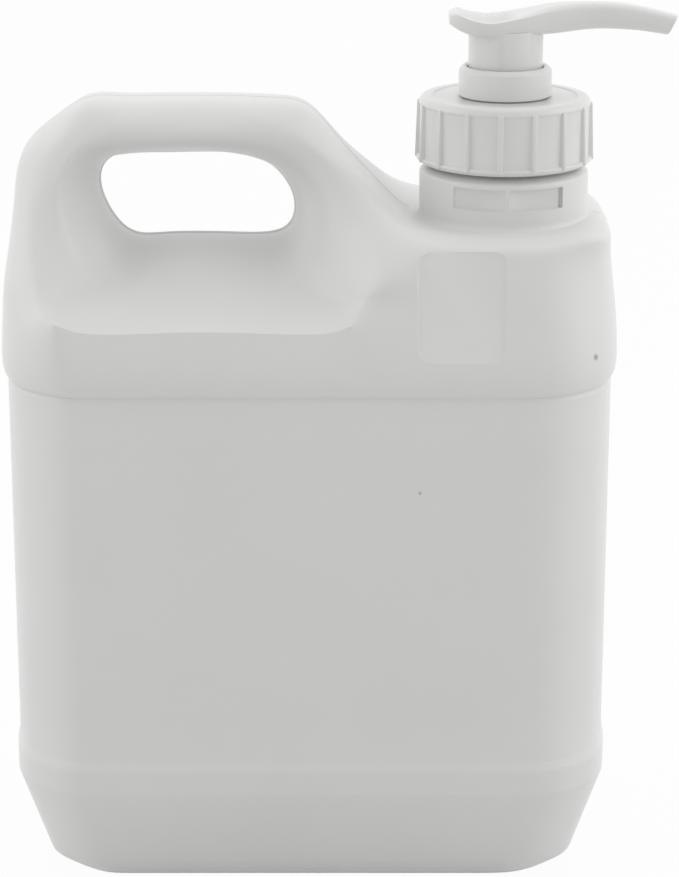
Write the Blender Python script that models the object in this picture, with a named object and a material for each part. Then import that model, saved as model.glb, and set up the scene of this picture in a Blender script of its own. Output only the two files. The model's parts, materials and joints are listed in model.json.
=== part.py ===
"""Shampoo dispenser jug: a blow-moulded two litre jug with a through handle
and a lotion pump held on its neck by a ribbed screw closure.

Metres, +Z up. The origin is the centre of the base, X runs along the jug
from the handle towards the neck, and the photographed face looks along -Y.
"""
import math

import bmesh
import bpy
import numpy as np
from mathutils import Matrix, Vector

# Jug body, as half sizes of its rectangular plan
BASE_HALF_WIDTH = 0.0690
BASE_HALF_DEPTH = 0.0374
BASE_CHAMFER = 0.0142
BASE_EDGE = 0.0016
BODY_HALF_WIDTH = 0.0762
BODY_HALF_DEPTH = 0.0424
CORNER_CHAMFER = 0.0155
CORNER_BULGE = 0.0012
CORNER_EASE = 0.0012
RIDGE_LOW = 0.0252
RIDGE_HIGH = 0.0318
RIDGE_PROUD = 0.0007
WAIST_TOP = 0.1290
GROOVE_DEPTH = 0.0005
BAND_HEIGHT = 0.1375
BAND_PROUD = 0.0013
JUG_WALL = 0.0012

# Shelf below the handle, and the platform that carries the neck
SHELF_HEIGHT = 0.1464
SHELF_LEFT = -0.0560
SHELF_RIGHT = 0.0050
PLATFORM_HEIGHT = 0.1663
PLATFORM_HALF_DEPTH = 0.0345
PLATFORM_ROUND = 0.0040
WALL_SWELL = 0.0009
BLOCK_TAPER = 0.0016

# Handle: outline seen from the front, and its half depths
HANDLE_TOP = 0.1971
HANDLE_LEFT = -0.0744
HANDLE_HALF_DEPTH = 0.0140
HANDLE_SHOULDER = 0.1836
HANDLE_CORNER = -0.0560
SLOPE_TOP_X = -0.0080
SLOPE_ROUND = 0.0058
SLOPE_FOOT_X = 0.0250
HOLE_BOTTOM = 0.1626
HOLE_TOP = 0.1830
HOLE_LEFT = -0.0530
HOLE_RIGHT = -0.0038

# Inset panel on the front, a frame that is pressed into the wall
PANEL_CENTRE_X = 0.0373
PANEL_CENTRE_Z = 0.1519
PANEL_WIDTH = 0.0221
PANEL_HEIGHT = 0.0268
PANEL_CORNER = 0.0030
PANEL_DEPTH = 0.0006

# Neck
NECK_X = 0.0490
NECK_BORE_RADIUS = 0.0156
NECK_ROOT_RADIUS = 0.0176
NECK_RING_RADIUS = 0.0213
NECK_RING_TOP = 0.1784
NECK_LEDGE_RISE = 0.0020
NECK_LENGTH = 0.0260
NECK_SUNK = 0.0026
NECK_FLARE = 0.0024
FLAT_REACH = 0.0199
FLAT_WIDTH = 0.0134
FLAT_BOTTOM = 0.1719
FLAT_HEIGHT = 0.0054
FLAT_ANGLES = (-15.2, 23.4)

# Clearances
SEAT_GAP = 0.0003
SLIDE_GAP = 0.0002
TURN_GAP = 0.0003

# Gasket and pump housing
GASKET_THICKNESS = 0.0010
FLANGE_RADIUS = 0.0184
FLANGE_THICKNESS = 0.0012
HOUSING_BORE_RADIUS = 0.0083
HOUSING_WALL = 0.0010
HOUSING_UPPER_LENGTH = 0.0150
CHAMBER_RADIUS = 0.0065
CHAMBER_LENGTH = 0.0280
BALL_SEAT_RADIUS = 0.0020
BALL_CAGE_RADIUS = 0.0027
BALL_CAGE_LIP = 0.0008
BALL_SIDE_GAP = 0.0004
SOCKET_LENGTH = 0.0120
INLET_BALL_RADIUS = 0.0030
INLET_BALL_LIFT = 0.0012

# Dip tube
TUBE_RADIUS = 0.0030
TUBE_WALL = 0.0008
TUBE_FLOOR_GAP = 0.0040

# Screw closure
CAP_RIB_COUNT = 16
CAP_RIB_PHASE = -2.4
CAP_RIB_WIDTH = 0.0018
CAP_PANEL_RADIUS = 0.0213
CAP_RIB_PROUD = 0.0007
CAP_BAND_HEIGHT = 0.0018
CAP_CHAMFER = 0.0009
CAP_RIB_LENGTH = 0.0132
CAP_RIM_HEIGHT = 0.0020
CAP_RIM_ROUND = 0.0016
CAP_RECESS_RADIUS = 0.0181
CAP_RECESS_DEPTH = 0.0004
CAP_TOP_THICKNESS = 0.0017
CAP_WALL = 0.0016
CAP_OVERHANG = 0.0119

# Locking collar
COLLAR_RADIUS = 0.01165
COLLAR_HEIGHT = 0.0075
COLLAR_CHAMFER = 0.0011
COLLAR_WALL = 0.0009
COLLAR_FLOOR = 0.0010
COLLAR_PLUG_LENGTH = 0.0060
COLLAR_PLUG_WALL = 0.0011
STROKE = 0.0072

# Plunger: stem, piston, plug and head
STEM_RADIUS = 0.0040
STEM_BORE_RADIUS = 0.0020
STEM_LENGTH = 0.0390
STEM_SEAT_RADIUS = 0.0014
STEM_POCKET_DEPTH = 0.0065
OUTLET_BALL_RADIUS = 0.0024
OUTLET_BALL_LIFT = 0.0010
PISTON_LENGTH = 0.0070
PISTON_WALL = 0.0010
PLUG_FLANGE_RADIUS = 0.0052
PLUG_FLANGE_THICKNESS = 0.0012
PLUG_BORE_RADIUS = 0.0010
PLUG_SPIGOT_LENGTH = 0.0040
PLUG_SPIGOT_RADIUS = 0.0022
PISTON_LIFT = 0.0006
SKIRT_RADIUS = 0.0093
SKIRT_WALL = 0.0013
SKIRT_ENTRY = 0.0012
SOCKET_WALL = 0.0013
HEAD_UNDERSIDE = 0.2128
STEM_TOP = 0.2118

# Spout outline
HEAD_LEFT = 0.0348
HEAD_HALF_WIDTH = 0.0095
SPOUT_HALF_WIDTH = 0.0034
SPOUT_TIP_X = 0.0912
SPOUT_CUT = 0.0021
THUMB_DISH = 0.0022
CHANNEL_RADIUS = 0.0014

# Return spring
SPRING_WIRE_RADIUS = 0.00045
SPRING_RADIUS = 0.0046
SPRING_TURNS = 6

# Facets around
ROUND_COARSE = 20
ROUND_MIDDLE = 32
ROUND_FINE = 48

# Heights that follow from the sizes above
neck_rim = PLATFORM_HEIGHT + NECK_LENGTH
gasket_bottom = neck_rim + SEAT_GAP
flange_bottom = gasket_bottom + GASKET_THICKNESS + SEAT_GAP
flange_top = flange_bottom + FLANGE_THICKNESS
cap_underside = flange_top + SEAT_GAP
cap_recess = cap_underside + CAP_TOP_THICKNESS
cap_top = cap_recess + CAP_RECESS_DEPTH
cap_bottom = cap_top - CAP_RIM_HEIGHT - CAP_RIB_LENGTH - CAP_BAND_HEIGHT
collar_bottom = cap_recess + SEAT_GAP
collar_top = collar_bottom + COLLAR_HEIGHT
collar_floor_bottom = flange_top + SEAT_GAP
collar_floor_top = collar_floor_bottom + COLLAR_FLOOR
skirt_bottom = collar_floor_top + SEAT_GAP + STROKE
cup_radius = SKIRT_RADIUS + TURN_GAP
cup_outer_radius = cup_radius + COLLAR_WALL
cap_hole_radius = cup_outer_radius + TURN_GAP
chamber_top = flange_top - HOUSING_UPPER_LENGTH
chamber_bottom = chamber_top - CHAMBER_LENGTH
cage_reach = math.sqrt(INLET_BALL_RADIUS ** 2 - BALL_CAGE_RADIUS ** 2)
inlet_ball_height = (
    chamber_bottom - BALL_CAGE_LIP - SLIDE_GAP - cage_reach - INLET_BALL_LIFT
)
inlet_seat_apex = inlet_ball_height - (INLET_BALL_RADIUS + SEAT_GAP) * math.sqrt(2.0)
seat_bottom = inlet_seat_apex + BALL_SEAT_RADIUS
socket_bottom = seat_bottom - SOCKET_LENGTH
socket_radius = TUBE_RADIUS + SEAT_GAP
stem_bottom = STEM_TOP - STEM_LENGTH
piston_bottom = stem_bottom + PISTON_LIFT
ball_bowl_radius = INLET_BALL_RADIUS + BALL_SIDE_GAP
pocket_floor = STEM_TOP - STEM_POCKET_DEPTH
pocket_radius = OUTLET_BALL_RADIUS + BALL_SIDE_GAP
outlet_seat_apex = pocket_floor - STEM_SEAT_RADIUS
outlet_ball_height = outlet_seat_apex + (OUTLET_BALL_RADIUS + SEAT_GAP) * math.sqrt(2.0)
spring_bottom = chamber_bottom + SEAT_GAP
spring_top = stem_bottom - 2.0 * SEAT_GAP - PLUG_FLANGE_THICKNESS


def new_material(name, colour, roughness, metallic=0.0):
    material = bpy.data.materials.new(name)
    material.use_nodes = True
    shader = material.node_tree.nodes["Principled BSDF"]
    shader.inputs["Base Color"].default_value = (*colour, 1.0)
    shader.inputs["Roughness"].default_value = roughness
    shader.inputs["Metallic"].default_value = metallic
    return material


def new_object(name, mesh_data, material, sharp_degrees=35.0):
    mesh = bpy.data.meshes.new(name)
    mesh_data.to_mesh(mesh)
    mesh_data.free()
    mesh.shade_smooth()
    mesh.set_sharp_from_angle(angle=math.radians(sharp_degrees))
    mesh.materials.append(material)
    piece = bpy.data.objects.new(name, mesh)
    bpy.context.scene.collection.objects.link(piece)
    return piece


def turned_mesh(profile, segments, first_angle=0.0):
    """Spin a closed outline of (radius, height) points about the Z axis."""
    mesh = bmesh.new()
    turn = Matrix.Rotation(first_angle, 3, "Z")
    ring = [mesh.verts.new(turn @ Vector((radius, 0.0, height))) for radius, height in profile]
    edges = [mesh.edges.new((ring[n - 1], ring[n])) for n in range(len(ring))]
    bmesh.ops.spin(
        mesh,
        geom=ring + edges,
        cent=(0.0, 0.0, 0.0),
        axis=(0.0, 0.0, 1.0),
        angle=2.0 * math.pi,
        steps=segments,
        use_merge=True,
    )
    bmesh.ops.remove_doubles(mesh, verts=mesh.verts, dist=1e-6)
    bmesh.ops.recalc_face_normals(mesh, faces=mesh.faces)
    return mesh


def turned(name, profile, segments, material, base=0.0):
    """A turned piece on the neck's axis, its origin at height base."""
    lowered = [(radius, height - base) for radius, height in profile]
    piece = new_object(name, turned_mesh(lowered, segments), material)
    piece.location = (NECK_X, 0.0, base)
    return piece


def lofted_mesh(sections):
    """Join rings of points, each with the same count, and close both ends."""
    mesh = bmesh.new()
    rings = [[mesh.verts.new(point) for point in section] for section in sections]
    count = len(rings[0])
    for low, high in zip(rings, rings[1:]):
        for n in range(count):
            m = (n + 1) % count
            mesh.faces.new((low[n], low[m], high[m], high[n]))
    mesh.faces.new(rings[0])
    mesh.faces.new(rings[-1])
    bmesh.ops.recalc_face_normals(mesh, faces=mesh.faces)
    return mesh


def hide_cutter(cutter):
    cutter.hide_render = True
    cutter.display_type = "WIRE"


def add_boolean(piece, other, operation):
    modifier = piece.modifiers.new(other.name, "BOOLEAN")
    modifier.operation = operation
    modifier.object = other
    modifier.solver = "EXACT"
    hide_cutter(other)


def spline(value, stations):
    """Height at value on a smooth curve through (place, height) stations."""
    places = [place for place, _ in stations]
    heights = [height for _, height in stations]
    slopes = np.gradient(heights, places)
    n = int(np.clip(np.searchsorted(places, value) - 1, 0, len(places) - 2))
    span = places[n + 1] - places[n]
    t = (value - places[n]) / span
    a = (1.0 + 2.0 * t) * (1.0 - t) ** 2 * heights[n]
    b = t * (1.0 - t) ** 2 * span * slopes[n]
    c = t * t * (3.0 - 2.0 * t) * heights[n + 1]
    d = t * t * (t - 1.0) * span * slopes[n + 1]
    return a + b + c + d


# The jug is a cage of cells: columns along X, layers through the depth and
# rows up the height. The finger hole is the cells that are left out.
COLUMNS = 10
LAYERS = 4
BODY_ROWS = 9
ROOT_ROW = BODY_ROWS + 1
CRISP_ROWS = 7
HOLE_COLUMNS = (2, 3, 4)
LEG_COLUMNS = (0, 1)
SLOPE_COLUMN = 5
TOP_ROW = ROOT_ROW + 4
MIDDLE = LAYERS // 2


def cell_is_solid(column, row):
    if row <= ROOT_ROW:
        return True
    if row == ROOT_ROW + 1:
        return column not in HOLE_COLUMNS
    if row == ROOT_ROW + 2:
        return column in LEG_COLUMNS or column == SLOPE_COLUMN
    return row == ROOT_ROW + 3 and column <= SLOPE_COLUMN


def cage_faces():
    """Outside faces of the solid cells, as corner keys wound to face out."""
    faces = []
    steps = ((1, 0, 0), (-1, 0, 0), (0, 1, 0), (0, -1, 0), (0, 0, 1), (0, 0, -1))
    for column in range(COLUMNS):
        for row in range(TOP_ROW):
            if not cell_is_solid(column, row):
                continue
            for layer in range(LAYERS):
                cell = (column, layer, row)
                for step in steps:
                    beside = [cell[n] + step[n] for n in range(3)]
                    inside = 0 <= beside[0] < COLUMNS and 0 <= beside[1] < LAYERS
                    inside = inside and 0 <= beside[2] < TOP_ROW
                    if inside and cell_is_solid(beside[0], beside[2]):
                        continue
                    axis = [abs(value) for value in step].index(1)
                    first = (axis + 1) % 3
                    second = (axis + 2) % 3
                    corners = []
                    for u, v in ((0, 0), (1, 0), (1, 1), (0, 1)):
                        corner = list(cell)
                        corner[axis] += max(step[axis], 0)
                        corner[first] += u
                        corner[second] += v
                        corners.append(tuple(corner))
                    if step[axis] < 0:
                        corners.reverse()
                    faces.append(tuple(corners))
    return faces


def face_depth(height):
    """Half depth of the shoulder's leaning face, from the band to the platform."""
    low = BODY_HALF_DEPTH + BAND_PROUD
    high = PLATFORM_HALF_DEPTH + 0.25 * PLATFORM_ROUND
    share = (height - BAND_HEIGHT) / (PLATFORM_HEIGHT - BAND_HEIGHT)
    return low + share * (high - low)


def body_stations():
    """(height, half width, half depth, chamfer) from the base to the shelf."""
    stations = []
    for height, proud in ((0.0, -BASE_EDGE), (BASE_EDGE, 0.0)):
        half_width = BASE_HALF_WIDTH + proud
        half_depth = BASE_HALF_DEPTH + proud
        stations.append((height, half_width, half_depth, BASE_CHAMFER))
    for height, proud in (
        (RIDGE_LOW, RIDGE_PROUD - 0.0001),
        (RIDGE_HIGH, RIDGE_PROUD - 0.0001),
        (RIDGE_HIGH + 3.5 * RIDGE_PROUD, 0.0),
        (WAIST_TOP, 0.0),
        (WAIST_TOP + 2.0 * GROOVE_DEPTH, -GROOVE_DEPTH),
        (0.5 * (WAIST_TOP + BAND_HEIGHT), 0.65 * BAND_PROUD),
        (BAND_HEIGHT, BAND_PROUD),
        (SHELF_HEIGHT, BAND_PROUD - 0.0004),
    ):
        half_width = BODY_HALF_WIDTH + proud
        half_depth = BODY_HALF_DEPTH + proud
        if height > BAND_HEIGHT:
            half_depth = face_depth(height)
        stations.append((height, half_width, half_depth, CORNER_CHAMFER))
    return stations


def column_x(column, flat):
    """X of a column where it runs up the front, whose flat has this half width."""
    full_flat = BODY_HALF_WIDTH + BAND_PROUD - CORNER_CHAMFER
    hole_third = (SHELF_RIGHT - SHELF_LEFT) / 3.0
    places = {
        1: -full_flat,
        2: SHELF_LEFT,
        3: SHELF_LEFT + hole_third,
        4: SHELF_LEFT + 2.0 * hole_third,
        5: SHELF_RIGHT,
        6: 0.5 * (SHELF_RIGHT + SLOPE_FOOT_X),
        7: SLOPE_FOOT_X,
        8: NECK_X + 0.0020,
        9: full_flat,
    }
    return places[column] * flat / full_flat


def body_point(column, layer, half_width, half_depth, chamfer):
    """Plan position on the outer ring of a rectangle with cut corners."""
    side = -1.0 if column == 0 else 1.0
    flat_depth = half_depth - chamfer
    depths = (-half_depth, -flat_depth, 0.0, flat_depth, half_depth)
    if column in (0, COLUMNS):
        if layer in (0, LAYERS):
            inset = 0.5 * chamfer - CORNER_BULGE
            front = -1.0 if layer == 0 else 1.0
            return side * (half_width - inset), front * (half_depth - inset)
        return side * half_width, depths[layer]
    return column_x(column, half_width - chamfer), depths[layer]


def handle_points():
    """Places of the cage corners above the shelf's lower edge.

    Keys are (column, layer, row) for the front half; the back half mirrors it.
    """
    root = ROOT_ROW
    low = root + 1
    mid = root + 2
    high = root + 3
    top = root + 4
    wide = BODY_HALF_WIDTH - CORNER_EASE
    grip = HANDLE_HALF_DEPTH
    hole_wide = HOLE_RIGHT - HOLE_LEFT
    hole_mid_z = 0.5 * (HOLE_BOTTOM + HOLE_TOP)
    slope_run = SLOPE_FOOT_X - SLOPE_TOP_X - SLOPE_ROUND
    slope_drop = HANDLE_TOP - PLATFORM_HEIGHT
    shelf_rise = HOLE_BOTTOM - SHELF_HEIGHT
    flat_x = wide - CORNER_CHAMFER

    def slope(share, y, drop=0.0):
        x = SLOPE_TOP_X + SLOPE_ROUND + share * slope_run
        return x, y, HANDLE_TOP - share * slope_drop - drop

    points = {}
    # Pinch line round the finger hole
    points[2, 2, low] = (HOLE_LEFT + 0.13 * hole_wide, 0.0, HOLE_BOTTOM + 0.0012)
    points[3, 2, low] = (HOLE_LEFT + 0.35 * hole_wide, 0.0, HOLE_BOTTOM)
    points[4, 2, low] = (HOLE_LEFT + 0.68 * hole_wide, 0.0, HOLE_BOTTOM)
    points[5, 2, low] = (HOLE_RIGHT - 0.0022, 0.0, HOLE_BOTTOM + 0.0016)
    points[2, 2, mid] = (HOLE_LEFT, 0.0, hole_mid_z + 0.0014)
    points[5, 2, mid] = (HOLE_RIGHT, 0.0, hole_mid_z - 0.0016)
    points[2, 2, high] = (HOLE_LEFT + 0.0026, 0.0, HOLE_TOP - 0.0018)
    points[3, 2, high] = (HOLE_LEFT + 0.30 * hole_wide, 0.0, HOLE_TOP)
    points[4, 2, high] = (HOLE_LEFT + 0.63 * hole_wide, 0.0, HOLE_TOP)
    points[5, 2, high] = (HOLE_RIGHT - 0.0052, 0.0, HOLE_TOP - 0.0036)
    # Halfway from the pinch line to the face of the legs, bar and shelf
    half = 0.5 * grip
    points[2, 1, low] = (HOLE_LEFT + 0.09 * hole_wide, -0.0105, SHELF_HEIGHT + 0.77 * shelf_rise)
    points[3, 1, low] = (HOLE_LEFT + 0.35 * hole_wide, -0.0105, SHELF_HEIGHT + 0.75 * shelf_rise)
    points[4, 1, low] = (HOLE_LEFT + 0.68 * hole_wide, -0.0105, SHELF_HEIGHT + 0.75 * shelf_rise)
    points[5, 1, low] = (HOLE_RIGHT - 0.0010, -0.0105, SHELF_HEIGHT + 0.80 * shelf_rise)
    points[2, 1, mid] = (HOLE_LEFT - 0.0026, -half - 0.0010, hole_mid_z + 0.0010)
    points[5, 1, mid] = (HOLE_RIGHT + 0.0026, -half - 0.0010, hole_mid_z - 0.0012)
    points[2, 1, high] = (HOLE_LEFT + 0.0010, -half, HOLE_TOP - 0.0006)
    points[3, 1, high] = (HOLE_LEFT + 0.30 * hole_wide, -half, HOLE_TOP + 0.0013)
    points[4, 1, high] = (HOLE_LEFT + 0.63 * hole_wide, -half, HOLE_TOP + 0.0013)
    points[5, 1, high] = (HOLE_RIGHT - 0.0042, -half, HOLE_TOP - 0.0024)
    # Face of the legs, bar and shelf, round the hole
    points[2, 0, low] = (HOLE_LEFT + 0.03 * hole_wide, -0.0225, SHELF_HEIGHT + 0.50 * shelf_rise)
    points[3, 0, low] = (HOLE_LEFT + 0.35 * hole_wide, -0.0225, SHELF_HEIGHT + 0.47 * shelf_rise)
    points[4, 0, low] = (HOLE_LEFT + 0.68 * hole_wide, -0.0225, SHELF_HEIGHT + 0.47 * shelf_rise)
    points[5, 0, low] = (HOLE_RIGHT + 0.0040, -0.0235, SHELF_HEIGHT + 0.55 * shelf_rise)
    points[2, 0, mid] = (HOLE_LEFT - 0.0072, -grip - 0.0034, hole_mid_z - 0.0008)
    points[5, 0, mid] = (HOLE_RIGHT + 0.0080, -grip - 0.0050, hole_mid_z - 0.0016)
    points[2, 0, high] = (HOLE_LEFT - 0.0024, -grip - 0.0004, HOLE_TOP + 0.0026)
    points[3, 0, high] = (HOLE_LEFT + 0.30 * hole_wide, -grip, HOLE_TOP + 0.0046)
    points[4, 0, high] = (HOLE_LEFT + 0.63 * hole_wide, -grip, HOLE_TOP + 0.0046)
    points[5, 0, high] = (HOLE_RIGHT + 0.0012, -grip - 0.0010, HOLE_TOP + 0.0014)
    # Where the legs and the shelf rise from the body's face
    root_z = SHELF_HEIGHT + 0.30 * shelf_rise
    block_z = root_z + 0.0026
    face = face_depth(block_z)
    points[0, 0, root] = (-wide + 0.0064, -0.0312, block_z)
    points[0, 1, root] = (-wide - 0.0006, -0.0215, block_z)
    points[0, 2, root] = (-wide - 0.0006, 0.0, block_z)
    points[1, 0, root] = (-flat_x - 0.0040, -0.0338, root_z + 0.0012)
    points[2, 0, root] = (HOLE_LEFT - 0.0022, -0.0300, root_z)
    points[3, 0, root] = (HOLE_LEFT + 0.34 * hole_wide, -0.0305, root_z - 0.0012)
    points[4, 0, root] = (HOLE_LEFT + 0.69 * hole_wide, -0.0305, root_z - 0.0012)
    points[5, 0, root] = (HOLE_RIGHT + 0.0078, -0.0315, root_z)
    points[6, 0, root] = (HOLE_RIGHT + 0.0172, -face + 0.0008, root_z + 0.0022)
    block = wide - 0.0006
    inset = 0.5 * CORNER_CHAMFER - CORNER_BULGE
    for column, x in ((7, SLOPE_FOOT_X), (8, NECK_X + 0.0020), (9, flat_x)):
        points[column, 0, root] = (x, -face, block_z)
    points[10, 0, root] = (block - inset, -face + inset, block_z)
    points[10, 1, root] = (block + 0.0002, -face + CORNER_CHAMFER, block_z)
    points[10, 2, root] = (block + 0.0002, 0.0, block_z)
    # Left leg: its face, its outer corner and its outline
    points[1, 0, low] = (-flat_x - 0.0030, -0.0258, HOLE_BOTTOM - 0.0010)
    points[1, 0, mid] = (-flat_x - 0.0054, -0.0192, hole_mid_z)
    points[1, 0, high] = (-flat_x - 0.0026, -grip - 0.0016, HOLE_TOP)
    points[0, 0, low] = (HANDLE_LEFT + 0.0042, -0.0258, HOLE_BOTTOM)
    points[0, 0, mid] = (HANDLE_LEFT + 0.0034, -0.0178, hole_mid_z)
    points[0, 0, high] = (HANDLE_LEFT + 0.0056, -grip + 0.0004, HOLE_TOP - 0.0008)
    points[0, 1, low] = (HANDLE_LEFT - 0.0004, -0.0150, HOLE_BOTTOM)
    points[0, 1, mid] = (HANDLE_LEFT + 0.0006, -0.0098, hole_mid_z)
    points[0, 1, high] = (HANDLE_LEFT + 0.0028, -half, HANDLE_SHOULDER - 0.0004)
    points[0, 2, low] = (HANDLE_LEFT - 0.0006, 0.0, HOLE_BOTTOM)
    points[0, 2, mid] = (HANDLE_LEFT + 0.0003, 0.0, hole_mid_z)
    points[0, 2, high] = (HANDLE_LEFT + 0.0024, 0.0, HANDLE_SHOULDER)
    # Top of the bar, from the left corner to the slope
    corner_x = 0.5 * (HANDLE_LEFT + HANDLE_CORNER) + 0.0006
    corner_z = 0.5 * (HANDLE_SHOULDER + HANDLE_TOP) - 0.0006
    points[0, 0, top] = (corner_x + 0.0030, -grip + 0.0008, corner_z - 0.0036)
    points[0, 1, top] = (corner_x + 0.0008, -half, corner_z + 0.0008)
    points[0, 2, top] = (corner_x, 0.0, corner_z + 0.0016)
    bar = {
        1: HANDLE_CORNER,
        2: HANDLE_CORNER + 0.0085,
        3: HOLE_LEFT + 0.33 * hole_wide,
        4: HOLE_LEFT + 0.64 * hole_wide,
        5: SLOPE_TOP_X,
    }
    for column, x in bar.items():
        fall = 0.0005 if column in (1, 5) else 0.0
        points[column, 0, top] = (x, -grip, HANDLE_TOP - 0.0048 - fall)
        points[column, 1, top] = (x, -0.58 * grip, HANDLE_TOP - 0.0007 - fall)
        points[column, 2, top] = (x, 0.0, HANDLE_TOP - fall)
    # Right leg: outer slope down to the platform, widening to full depth
    points[6, 2, top] = slope(0.10, 0.0)
    points[6, 1, top] = slope(0.09, -half - 0.0010, 0.0010)
    points[6, 0, top] = slope(0.08, -grip - 0.0005, 0.0052)
    points[6, 2, high] = slope(0.40, 0.0)
    points[6, 1, high] = slope(0.39, -0.0095, 0.0006)
    points[6, 0, high] = slope(0.32, -0.0168, 0.0040)
    points[6, 2, mid] = slope(0.71, 0.0)
    points[6, 1, mid] = slope(0.70, -0.0120, 0.0004)
    points[6, 0, mid] = slope(0.63, -0.0228, 0.0036)
    points[6, 0, low] = (SLOPE_FOOT_X - 0.0095, -face_depth(0.1590) + 0.0010, 0.1590)
    # Block under the neck
    wall_top = PLATFORM_HEIGHT - PLATFORM_ROUND
    wall = face_depth(wall_top) - WALL_SWELL
    for column, x in ((7, SLOPE_FOOT_X), (8, NECK_X + 0.0020), (9, flat_x)):
        points[column, 0, low] = (x, -wall, wall_top)
        points[column, 0, mid] = (x, -PLATFORM_HALF_DEPTH, PLATFORM_HEIGHT - 0.0006)
        points[column, 1, mid] = (x, -0.5 * PLATFORM_HALF_DEPTH, PLATFORM_HEIGHT)
        points[column, 2, mid] = (x, 0.0, PLATFORM_HEIGHT)
    points[10, 0, low] = (block - inset, -wall + inset, wall_top)
    points[10, 1, low] = (block, -wall + CORNER_CHAMFER, wall_top)
    points[10, 2, low] = (block, 0.0, wall_top)
    rim = wide - BLOCK_TAPER
    rim_z = PLATFORM_HEIGHT - 0.0010
    rim_y = PLATFORM_HALF_DEPTH
    points[10, 0, mid] = (rim - inset, -rim_y + inset + 0.0010, rim_z)
    points[10, 1, mid] = (rim, -rim_y + CORNER_CHAMFER, rim_z)
    points[10, 2, mid] = (rim, 0.0, rim_z)
    return points


def shelf_edge(column, place):
    """Lower edge of the shelf: it turns up at its two ends."""
    x, y, z = place
    if column == 1:
        return -BODY_HALF_WIDTH + CORNER_CHAMFER - 0.0022, y + 0.0008 * np.sign(-y), z + 0.0016
    if column == 6:
        return x - 0.0020, y, z + 0.0016
    return place


def cage_places(keys):
    stations = body_stations()
    upper = handle_points()
    places = []
    for key in keys:
        column, layer, row = key
        if row <= BODY_ROWS:
            height, half_width, half_depth, chamfer = stations[row]
            x, y = body_point(column, layer, half_width, half_depth, chamfer)
            place = (x, y, height)
            if row == BODY_ROWS and layer in (0, LAYERS):
                place = shelf_edge(column, place)
        else:
            front_layer = min(layer, LAYERS - layer)
            x, y, z = upper[column, front_layer, row]
            place = (x, y if layer <= MIDDLE else -y, z)
        places.append(place)
    return np.array(places)


def sharp_cage_edges():
    """Rings below the shoulder band, and the shelf's lower edge, stay crisp."""
    edges = set()
    for row in range(CRISP_ROWS):
        for column in range(COLUMNS):
            for layer in (0, LAYERS):
                edges.add(frozenset(((column, layer, row), (column + 1, layer, row))))
        for layer in range(LAYERS):
            for column in (0, COLUMNS):
                edges.add(frozenset(((column, layer, row), (column, layer + 1, row))))
    for column in range(1, 6):
        for layer in (0, LAYERS):
            low = (column, layer, BODY_ROWS)
            edges.add(frozenset((low, (column + 1, layer, BODY_ROWS))))
    return edges


def is_free(key):
    """Corners of the plain walls, which the smoothing may round off."""
    column, layer, row = key
    if row < BODY_ROWS:
        return True
    if row == BODY_ROWS:
        return layer not in (0, LAYERS) or column == 0 or column > 6
    return row in (ROOT_ROW, ROOT_ROW + 1) and column in (7, 8, 9)


def pushed_out_cage(keys, faces, sharp):
    """Cage corners whose smoothed surface runs through the wanted places."""
    index = {key: n for n, key in enumerate(keys)}
    count = len(keys)
    weights = np.zeros((count, count))
    beside = [set() for _ in keys]
    across = [[] for _ in keys]
    creased = [set() for _ in keys]
    for face in faces:
        for n in range(4):
            here = index[face[n]]
            beside[here].add(index[face[(n + 1) % 4]])
            beside[here].add(index[face[(n + 3) % 4]])
            across[here].append(index[face[(n + 2) % 4]])
    for edge in sharp:
        a, b = (index[key] for key in edge)
        creased[a].add(b)
        creased[b].add(a)
    for here in range(count):
        if is_free(keys[here]):
            weights[here, here] = 1.0
            continue
        if len(creased[here]) == 2:
            weights[here, here] = 2.0 / 3.0
            for other in creased[here]:
                weights[here, other] += 1.0 / 6.0
            continue
        valence = len(beside[here])
        share = 1.0 / (valence * (valence + 5.0))
        weights[here, here] = valence * valence * share
        for other in beside[here]:
            weights[here, other] += 4.0 * share
        for other in across[here]:
            weights[here, other] += share
    return np.linalg.solve(weights, cage_places(keys))


def jug_skin_mesh():
    faces = cage_faces()
    keys = sorted({key for face in faces for key in face})
    sharp = sharp_cage_edges()
    corners = pushed_out_cage(keys, faces, sharp)
    mesh = bmesh.new()
    crease = mesh.edges.layers.float.new("crease_edge")
    verts = {key: mesh.verts.new(Vector(corner)) for key, corner in zip(keys, corners)}
    for face in faces:
        mesh.faces.new([verts[key] for key in face])
    for edge in sharp:
        a, b = edge
        found = mesh.edges.get((verts[a], verts[b]))
        found[crease] = 1.0
    bmesh.ops.recalc_face_normals(mesh, faces=mesh.faces)
    return mesh


def neck_profile():
    foot = PLATFORM_HEIGHT - NECK_SUNK
    return [
        (NECK_ROOT_RADIUS, neck_rim - 0.0004),
        (NECK_ROOT_RADIUS, NECK_RING_TOP + NECK_LEDGE_RISE),
        (NECK_RING_RADIUS - 0.0010, NECK_RING_TOP + 0.0006),
        (NECK_RING_RADIUS, NECK_RING_TOP),
        (NECK_RING_RADIUS, PLATFORM_HEIGHT + 0.0016),
        (NECK_RING_RADIUS + 0.3 * NECK_FLARE, PLATFORM_HEIGHT + 0.0005),
        (NECK_RING_RADIUS + NECK_FLARE, PLATFORM_HEIGHT - 0.0004),
        (NECK_RING_RADIUS + NECK_FLARE, foot),
        (NECK_BORE_RADIUS - 0.0010, foot),
        (NECK_BORE_RADIUS - 0.0010, neck_rim),
        (NECK_ROOT_RADIUS - 0.0004, neck_rim),
    ]


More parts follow.
